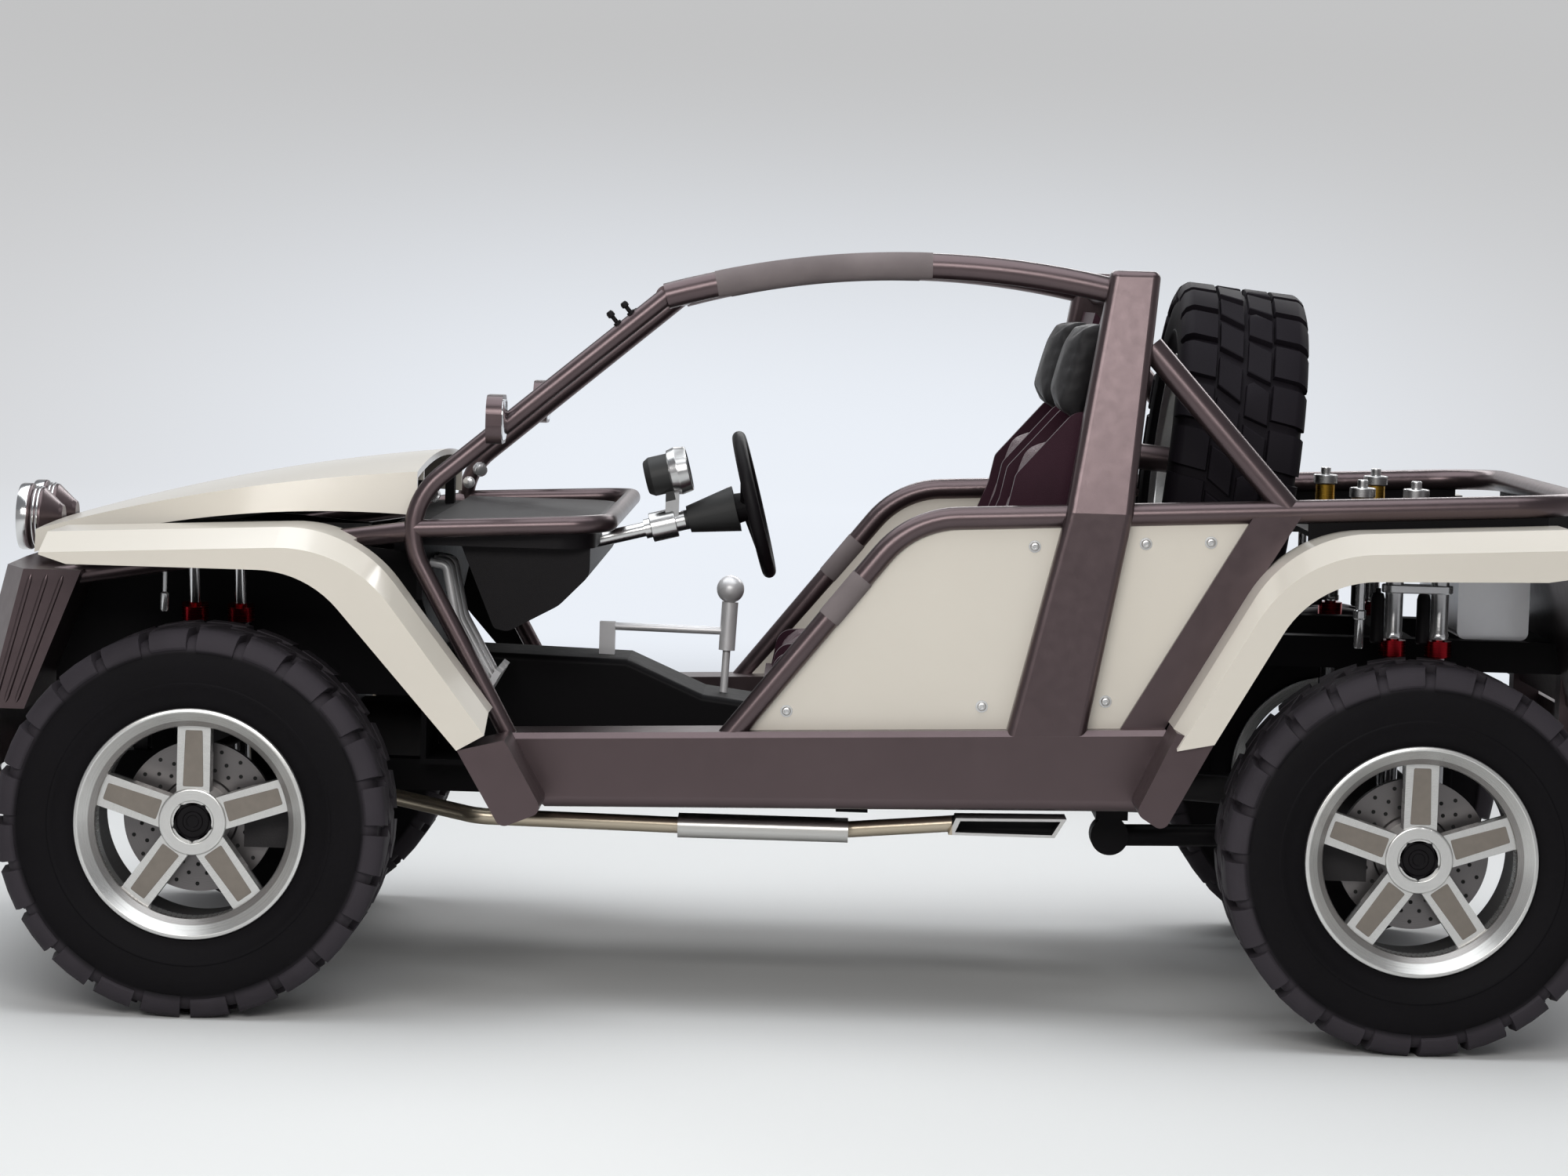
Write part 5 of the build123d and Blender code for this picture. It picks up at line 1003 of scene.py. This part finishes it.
def build_scatter_tree():
    build, given = start_tree("set_on_points", (("Item", "Object"), ("Turn", "Vector")))
    item = build.make("GeometryNodeObjectInfo", None, {"Object": given["Item"]}, output="Geometry")
    copies = build.make("GeometryNodeInstanceOnPoints", None,
                        {"Points": given["Geometry"], "Instance": item, "Rotation": given["Turn"]})
    return end_tree(build, given, copies)


scatter_tree = build_scatter_tree()
bolt = bpy.data.objects.new("bolt", lathe(BOLT, 18, "panel_bolt"))
bpy.context.scene.collection.objects.link(bolt)
bolts = []
for side, turn in ((1, 0.0), (-1, pi)):
    places = bpy.data.meshes.new("bolt_places")
    places.from_pydata([(x, side * PANEL_FACE, z) for x, z in PANEL_BOLTS], [], [])
    bolts.append(grow(places, scatter_tree, item=bolt, turn=(0.0, 0.0, turn), finish=plain_alloy))
bpy.data.objects.remove(bolt)
piece("panel_bolts", joined(bolts, "panel_bolts"), plain_alloy, "chassis", "plain_alloy")
print("panel bolts", 2 * len(PANEL_BOLTS))

# %% [markdown]
# ## Rubber sleeves
# The roof rails and the diagonals carry matte sleeves where a hand takes hold. Each is a short tube a
# millimetre larger than the rail, along the same line, with rounded ends.

# %% Rubber sleeves
ROOF_RAIL_RADIUS = 0.028
SIDE_RAIL_RADIUS = 0.025
SLEEVE_WALL = 0.0012
SLEEVE_ENDS = (-0.0008, SLEEVE_WALL * 0.7)
ROOF_SLEEVE_STEPS = 20
# foot and knee of the left diagonal, and where its sleeve lies as shares of the way
DIAGONAL_FOOT, DIAGONAL_KNEE = Vector((0.165, 0.665, 0.593)), Vector((-0.230, 0.650, 1.0915))
DIAGONAL_SHARES = (0.56, 0.565, 0.66, 0.735, 0.74)
ROOF_HALF_WIDTH = 0.580
# three points of the roof rail's arc as (x, z)
ROOF_ARC = ((0.316, 1.555), (-0.205, 1.637), (-0.697, 1.585))
ROOF_SLEEVE = (0.207, -0.258)


def arc_through(points):
    """Centre and radius of the circle through three points in the side view."""
    (ax, az), (bx, bz), (cx, cz) = points
    det = 2 * (ax * (bz - cz) + bx * (cz - az) + cx * (az - bz))
    ux = ((ax**2 + az**2) * (bz - cz) + (bx**2 + bz**2) * (cz - az) + (cx**2 + cz**2) * (az - bz)) / det
    uz = ((ax**2 + az**2) * (cx - bx) + (bx**2 + bz**2) * (ax - cx) + (cx**2 + cz**2) * (bx - ax)) / det
    return ux, uz, sqrt((ax - ux) ** 2 + (az - uz) ** 2)


def sleeve_mesh(points, radius, name):
    """Tube round a line of points, drawn in to the rail at both ends."""
    rows = []
    stations = [(points[0], extra) for extra in SLEEVE_ENDS]
    stations += [(point, SLEEVE_WALL) for point in points[1:-1]]
    stations += [(points[-1], extra) for extra in reversed(SLEEVE_ENDS)]
    direction = (points[-1] - points[0]).normalized()
    for place, (point, extra) in enumerate(stations):
        if 0 < place < len(stations) - 1:
            direction = (stations[place + 1][0] - stations[place - 1][0]).normalized()
        side = direction.cross(Vector((0, 1, 0))).normalized()
        lift = side.cross(direction).normalized()
        rows.append([point + side * u + lift * v for u, v in circle(radius + extra, 28)])
    return skinned(rows, name, capped=False)


arc_x, arc_z, arc_radius = arc_through(ROOF_ARC)
sleeves = []
for side in (1, -1):
    line = []
    for step in range(ROOF_SLEEVE_STEPS + 1):
        x = ROOF_SLEEVE[0] + (ROOF_SLEEVE[1] - ROOF_SLEEVE[0]) * step / ROOF_SLEEVE_STEPS
        line.append(Vector((x, side * ROOF_HALF_WIDTH, arc_z + sqrt(arc_radius**2 - (x - arc_x) ** 2))))
    sleeves.append(sleeve_mesh(line, ROOF_RAIL_RADIUS, "roof_sleeve"))
    flip = Vector((1, side, 1))
    run = [DIAGONAL_FOOT.lerp(DIAGONAL_KNEE, share) * flip for share in DIAGONAL_SHARES]
    sleeves.append(sleeve_mesh(run, SIDE_RAIL_RADIUS, "rail_sleeve"))
piece("grip_sleeves", joined(sleeves, "grip_sleeves"), sleeve_rubber, "chassis", "black_plastic")
print("sleeves", len(sleeves))

# %% [markdown]
# ## Lamps
# Behind each clear lens sits a bright bowl with a small bulb, and the shell is banded by turned rings with a
# polished bezel at the front. These are all turned shapes, laid along the car's X axis.

# %% Lamps
chrome_trim = blasted_alloy("polished_trim", (0.78, 0.78, 0.78), 0.12)
LAMP_FRONT = 1.804
LAMP_HALF_PITCH = 0.084
LAMP_CENTRE_HEIGHT = 1.005
TURN_TO_NOSE = Matrix.Rotation(-pi / 2, 4, "Z")


def lamp_part(profile, segments, side):
    mesh = lathe(profile, segments, "lamp_part")
    centre = Vector((LAMP_FRONT, side * LAMP_HALF_PITCH, LAMP_CENTRE_HEIGHT))
    mesh.transform(Matrix.Translation(centre) @ TURN_TO_NOSE)
    return mesh


# radius, distance ahead of the lens
BEZEL = ((0.0672, 0.0005), (0.0690, 0.0022), (0.0750, 0.0012), (0.0768, -0.004), (0.0768, -0.020),
         (0.0762, -0.022))
BAND = ((0.0680, -0.0320), (0.0705, -0.0325), (0.0715, -0.0350), (0.0705, -0.0375), (0.0680, -0.0380))
BAND_SHIFTS = (0.0, -0.009)
BOWL = ((0.0, -0.0092), (0.010, -0.0090), (0.030, -0.0075), (0.052, -0.0040), (0.0655, -0.0024))
BULB = ((0.0, -0.0030), (0.004, -0.0032), (0.007, -0.0055), (0.008, -0.0092))
trim = []
for side in (1, -1):
    trim.append(lamp_part(BEZEL, 48, side))
    trim.append(lamp_part(BOWL, 48, side))
    trim.append(lamp_part(BULB, 16, side))
    for shift in BAND_SHIFTS:
        trim.append(lamp_part([(radius, y + shift) for radius, y in BAND], 48, side))
piece("lamp_trim", joined(trim, "lamp_trim"), chrome_trim, "chassis", "damper_steel")
print("lamp trim parts", len(trim))

# %% [markdown]
# ## Damper fittings
# Each rear damper has a polished can over its rod and a black gas bottle strapped beside it, and a bridge
# plate ties the pair together under the deck. A bright pipe comes down ahead of them, and a short bleed rod
# hangs from each front rail. All are turned about an upright axis, except the bridge with its rounded ends.

# %% Damper fittings
DAMPER_XS = (-1.290, -1.390)
DAMPER_Y = 0.540
DECK_UNDERSIDE = 1.0445
BOTTLE_OFFSET = 0.035
PIPE_X = -1.216
UPRIGHT = Vector((0.0, 0.0, 1.0))
# radius, height
DAMPER_CAN = ((0.0146, 0.858), (0.0205, 0.858), (0.0215, 0.862), (0.0215, 0.870), (0.0196, 0.873),
              (0.0196, 0.984), (0.0232, 0.987), (0.0232, 0.998), (0.0196, 1.001), (0.0196, 1.030),
              (0.0146, 1.032))
GAS_BOTTLE = ((0.0, 0.846), (0.0120, 0.846), (0.0152, 0.850), (0.0152, 0.944), (0.0120, 0.955),
              (0.0060, 0.957), (0.0060, 0.966), (0.0, 0.967))
DOWN_PIPE = ((0.0, 0.832), (0.0080, 0.833), (0.0105, 0.837), (0.0105, 0.896), (0.0138, 0.899),
             (0.0138, 0.915), (0.0105, 0.918), (0.0105, DECK_UNDERSIDE), (0.0, DECK_UNDERSIDE))
BLEED_X, BLEED_Y = 1.393, 0.575
BLEED_ROD = ((0.0, 0.836), (0.0070, 0.837), (0.0095, 0.841), (0.0095, 0.876), (0.0055, 0.880),
             (0.0055, 0.930), (0.0, 0.930))
# height and reach beyond the cans' axes
BRIDGE_LAYERS = ((0.958, 0.026), (0.960, 0.028), (0.974, 0.028), (0.976, 0.026))
BRIDGE_STEPS = 12


def turned(profile, segments, place, direction, closed=False):
    """A turned mesh whose axis points along a direction, its zero height at a place."""
    mesh = lathe(profile, segments, "turned", closed)
    turn = Vector((0, 1, 0)).rotation_difference(direction).to_matrix().to_4x4()
    mesh.transform(Matrix.Translation(place) @ turn)
    return mesh


def bridge_mesh(y):
    """Plate with round ends that holds both cans."""
    rows = []
    for height, reach in BRIDGE_LAYERS:
        row = []
        for x, first in zip(DAMPER_XS, (-pi / 2, pi / 2)):
            for step in range(BRIDGE_STEPS + 1):
                angle = first + pi * step / BRIDGE_STEPS
                row.append((x + reach * cos(angle), y + reach * sin(angle), height))
        rows.append(row)
    return skinned(rows, "bridge")


polished = blasted_alloy("polished_fitting", (0.80, 0.80, 0.81), 0.16, metallic=0.8)
bright_parts, bottles = [], []
for side in (1, -1):
    for x in DAMPER_XS:
        spot = Vector((x, side * DAMPER_Y, 0.0))
        bright_parts.append(turned(DAMPER_CAN, 28, spot, UPRIGHT, closed=True))
        bottles.append(turned(GAS_BOTTLE, 24, spot + Vector((BOTTLE_OFFSET, 0.0, 0.0)), UPRIGHT))
    bright_parts.append(turned(DOWN_PIPE, 20, Vector((PIPE_X, side * DAMPER_Y, 0.0)), UPRIGHT))
    bright_parts.append(turned(BLEED_ROD, 16, Vector((BLEED_X, side * BLEED_Y, 0.0)), UPRIGHT))
    bright_parts.append(bridge_mesh(side * DAMPER_Y))
piece("damper_fittings", joined(bright_parts, "damper_fittings"), polished, "chassis", "damper_steel")
piece("gas_bottles", joined(bottles, "gas_bottles"), moulded_black, "chassis", "black_plastic")
print("damper fittings", len(bright_parts) + len(bottles))

# %% [markdown]
# ## Nose ribs
# The nose's corner posts are creased by ribs that follow their slant. A rib is a half-round bar that swells
# out of the post and sinks back into it, so it is a skin over half rings between the post's two ends.

# %% Nose ribs
nose_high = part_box("nose_panel")[1]
NOSE_SIDE = 0.640
RIB_LOW, RIB_HIGH = 0.632, 0.914
POST_LOW, POST_HIGH = 0.620, 0.925
POST_SETBACK = 0.070
POST_SLANT = 0.074
POST_DEPTHS = (0.080, 0.125)
RIB_SHARES = (0.16, 0.44, 0.72)
RIB_HALF_WIDTH = 0.0055
RIB_PROUD = 0.0035
RIB_SINK = 0.0005
RIB_STEPS = 8
# share of the way along a rib, share of its full section there
RIB_STATIONS = ((0.0, 0.15), (0.02, 0.7), (0.05, 1.0), (0.35, 1.0), (0.65, 1.0), (0.95, 1.0), (0.98, 0.7),
                (1.0, 0.15))


def post_point(share, height):
    """A point on the post's side, a share of the way from its front to its back edge."""
    climb = (height - POST_LOW) / (POST_HIGH - POST_LOW)
    depth = POST_DEPTHS[0] + (POST_DEPTHS[1] - POST_DEPTHS[0]) * climb
    return Vector((nose_high.x - POST_SETBACK - POST_SLANT * climb - share * depth, 0.0, height))


def rib_mesh(share, side):
    """Half-round rib that tapers into the post at both ends."""
    start, end = post_point(share, RIB_LOW), post_point(share, RIB_HIGH)
    across = (end - start).normalized().cross(Vector((0, 1, 0)))
    rows = []
    for along, swell in RIB_STATIONS:
        centre = start.lerp(end, along)
        row = []
        for step in range(RIB_STEPS + 1):
            angle = pi * step / RIB_STEPS
            lift = Vector((0.0, side * (NOSE_SIDE - RIB_SINK + RIB_PROUD * swell * sin(angle)), 0.0))
            row.append(centre + across * RIB_HALF_WIDTH * swell * cos(angle) + lift)
        rows.append(row)
    return skinned(rows, "rib")


ribs = [rib_mesh(share, side) for share in RIB_SHARES for side in (1, -1)]
piece("nose_ribs", joined(ribs, "nose_ribs"), taupe_frame, "chassis", "frame_paint")
print("ribs", len(ribs))

# %% [markdown]
# ## Pillar studs
# Studs for a screen and its hinge stand on the pillars, turned like any stud. The nearest point of the
# pillar's own surface is looked up, so each one sits square on the tube.

# %% Pillar studs
STUD_LEAST = 0.012
# x, y, z of the tip and a size factor
SCREEN_STUDS = ((0.440, 0.597, 1.518, 0.8), (0.410, 0.594, 1.539, 0.8))
HINGE_STUDS = ((0.838, 0.602, 1.078, 1.3), (0.806, 0.600, 1.108, 1.5))
# radius, share of the stud's height
STUD = ((0.0, 1.0), (0.0075, 1.0), (0.0105, 0.86), (0.0105, 0.62), (0.0060, 0.54), (0.0060, 0.14),
        (0.0115, 0.10), (0.0115, -0.06))


def stud_mesh(tree, x, y, z, size):
    tip = Vector((x, y, z))
    foot = tree.find_nearest(tip)[0]
    reach = max((tip - foot).length, STUD_LEAST)
    profile = [(radius * size, share * reach) for radius, share in STUD]
    return turned(profile, 18, foot, (tip - foot).normalized())


def surface_of(name):
    mesh = nodes[name].data
    corners = [tuple(face.vertices) for face in mesh.polygons]
    return BVHTree.FromPolygons([vert.co for vert in mesh.vertices], corners)


pillar_surface = surface_of("pillar_frame")
for name, rows, finish, slot in (("screen_studs", SCREEN_STUDS, moulded_black, "black_plastic"),
                                 ("hinge_studs", HINGE_STUDS, polished, "damper_steel")):
    studs = [stud_mesh(pillar_surface, x, side * y, z, size) for x, y, z, size in rows for side in (1, -1)]
    piece(name, joined(studs, name), finish, "chassis", slot)

print("studs", 2 * len(SCREEN_STUDS + HINGE_STUDS))

# %% [markdown]
# ## Mirror glass
# A silvered glass with a bevelled edge lies on the rear face of each mirror's shell. It is a rounded plate,
# as the spoke inlays are.

# %% Mirror glass
MIRROR_BACK = 0.652
MIRROR_HALF_TRACK = 0.700
MIRROR_HEIGHT = 1.282
GLASS_SIZE = (0.134, 0.088)
GLASS_CORNER = 0.034
GLASS_LAYERS = ((0.0, 0.0), (0.0014, 0.0), (0.0022, 0.003))


def glass_mesh(side):
    half_length, half_width = GLASS_SIZE[0] / 2, GLASS_SIZE[1] / 2
    centre = Vector((MIRROR_BACK, side * MIRROR_HALF_TRACK, MIRROR_HEIGHT))
    return plate_mesh(GLASS_LAYERS, half_length, (half_width, half_width), GLASS_CORNER, 7,
                      lambda along, across, depth: centre + Vector((-depth, along, across)))


silvered = blasted_alloy("silvered_glass", (0.70, 0.72, 0.74), 0.06)
glasses = [glass_mesh(side) for side in (1, -1)]
piece("mirror_glass", joined(glasses, "mirror_glass"), silvered, "chassis", "lamp_glass")
print("mirror glasses", len(glasses))

# %% [markdown]
# ## Seats
# Each bucket seat has a cushion, a back and a head pad in hide over foam. The model holds them as plain
# solids in one node, so the left seat's pads are first told apart: each is a set of points joined by edges.

# %% Pads from the model
WELD_DISTANCE = 1e-5


def pad_islands():
    """The left seat's pads, merged and split: rows of (points, faces)."""
    work = bmesh.new()
    work.from_mesh(nodes["seat_pads"].data)
    bmesh.ops.remove_doubles(work, verts=work.verts, dist=WELD_DISTANCE)
    islands, seen = [], set()
    for seed in work.verts:
        if seed in seen or seed.co.y < 0:
            continue
        stack, members = [seed], set()
        while stack:
            vert = stack.pop()
            if vert not in members:
                members.add(vert)
                stack.extend(edge.other_vert(vert) for edge in vert.link_edges)
        seen |= members
        ordered = [vert for vert in work.verts if vert in members]
        order = {vert: index for index, vert in enumerate(ordered)}
        faces = [[order[vert] for vert in face.verts] for face in work.faces if face.verts[0] in members]
        islands.append(([vert.co.copy() for vert in ordered], faces))
    work.free()
    return islands


islands = pad_islands()
print("pads on the left seat", len(islands))

# %% [markdown]
# ## Padding
# A pad is shrunk a little, remeshed evenly and blown up by a short cloth simulation with pressure and no
# gravity, so its faces crown between the edges as stuffed hide does. The shell stops it from growing
# backwards or sideways, so those moves are taken out.

# %% Blow up a pad
PAD_VOXEL = 0.010
PAD_SHRINK = 0.975
PAD_PRESSURE = 4.0
PAD_FRAMES = 20
PAD_CAP = 0.020
PAD_SIDE_GAP = 0.001


def shrunk(points):
    centre = sum(points, Vector()) / len(points)
    return [centre + (point - centre) * PAD_SHRINK for point in points]


def puffed(points, faces, to_shell, name):
    """Remesh a pad, blow it up and keep it out of the shell."""
    mesh = bpy.data.meshes.new(name)
    mesh.from_pydata([tuple(point) for point in shrunk(points)], [], faces)
    thing = bpy.data.objects.new(name, mesh)
    bpy.context.scene.collection.objects.link(thing)
    remesh = thing.modifiers.new("even_faces", "REMESH")
    remesh.mode = "VOXEL"
    remesh.voxel_size = PAD_VOXEL
    thing.data = evaluated(thing)
    thing.modifiers.clear()
    start = [vert.co.copy() for vert in thing.data.vertices]
    cloth = thing.modifiers.new("stuffing", "CLOTH")
    cloth.settings.use_pressure = True
    cloth.settings.uniform_pressure_force = PAD_PRESSURE
    cloth.settings.effector_weights.gravity = 0.0
    cloth.point_cache.frame_start = 1
    cloth.point_cache.frame_end = PAD_FRAMES
    for step in range(1, PAD_FRAMES + 1):
        bpy.context.scene.frame_set(step)
    result = evaluated(thing)
    thing.modifiers.clear()
    bpy.context.scene.frame_set(1)
    low_y = min(point.y for point in points) + PAD_SIDE_GAP
    high_y = max(point.y for point in points) - PAD_SIDE_GAP
    for vert, home in zip(result.vertices, start):
        move = vert.co - home
        toward = move.dot(to_shell)
        move -= to_shell * max(toward, 0.0)
        if move.length > PAD_CAP:
            move *= PAD_CAP / move.length
        vert.co = home + move
        vert.co.y = min(max(vert.co.y, low_y), high_y)
    thing.data = result
    return thing


print("cloth steps", PAD_FRAMES)

# %% [markdown]
# ## Sewn channels and the second seat
# Cross seams hold the hide down to the foam, so channels are pressed in at set distances along the cushion
# and the back. One seat is made and mirrored to the other side, as the two are alike.

# %% Finish the seats
CHANNEL_DEPTH, CHANNEL_WIDTH = 0.007, 0.012
CUSHION_BELOW, HEAD_ABOVE = 0.9, 1.4


def press_channels(mesh, along, places):
    """Push sewn channels into the outer face at set distances along a direction."""
    for vert in mesh.vertices:
        reach = vert.co.dot(along)
        for place in places:
            gap = abs(reach - place) / CHANNEL_WIDTH
            if gap < 1:
                vert.co -= vert.normal * CHANNEL_DEPTH * (1 - gap * gap) ** 2


def mirrored(mesh):
    work = bmesh.new()
    work.from_mesh(mesh)
    for vert in work.verts:
        vert.co.y = -vert.co.y
    bmesh.ops.reverse_faces(work, faces=work.faces)
    return mesh_of(work, mesh.name + "_other")


back_line = Vector((-0.196, 0.0, 0.668)).normalized()
back_to_shell = Vector((-back_line.z, 0.0, back_line.x))
cushion_to_shell = Vector((0.077, 0.0, -0.997))
cushion_line = Vector((1.0, 0.0, 0.0))
# name, direction to the shell, channel direction, channel places, finish
PAD_STYLES = {
    "cushion": (cushion_to_shell, cushion_line, (-0.25, -0.15, -0.05), seat_hide),
    "back": (back_to_shell, back_line, (0.86, 0.95, 1.04, 1.13, 1.22), seat_hide),
    "head": (back_to_shell, back_line, (), head_hide),
}


def pad_kind(points):
    top = max(point.z for point in points)
    if top < CUSHION_BELOW:
        return "cushion"
    return "head" if top > HEAD_ABOVE else "back"


pads = {kind: [] for kind in PAD_STYLES}
for points, faces in islands:
    kind = pad_kind(points)
    to_shell, along, places, finish = PAD_STYLES[kind]
    thing = puffed(points, faces, to_shell, f"pad_{kind}")
    press_channels(thing.data, along, places)
    subdivide = thing.modifiers.new("even_curve", "SUBSURF")
    subdivide.levels = 1
    subdivide.render_levels = 1
    finished = evaluated(thing)
    bpy.data.objects.remove(thing)
    for side, mesh in (("left", finished), ("right", mirrored(finished))):
        pads[kind].append(piece(f"seat_{kind}_{side}", mesh, finish, "chassis", "seat_cover"))
for kind, things in pads.items():
    for thing in things:
        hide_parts("seat_pads")
print("pad triangles", {kind: sum(len(face.vertices) - 2 for face in things[0].data.polygons)
                        for kind, things in pads.items()})
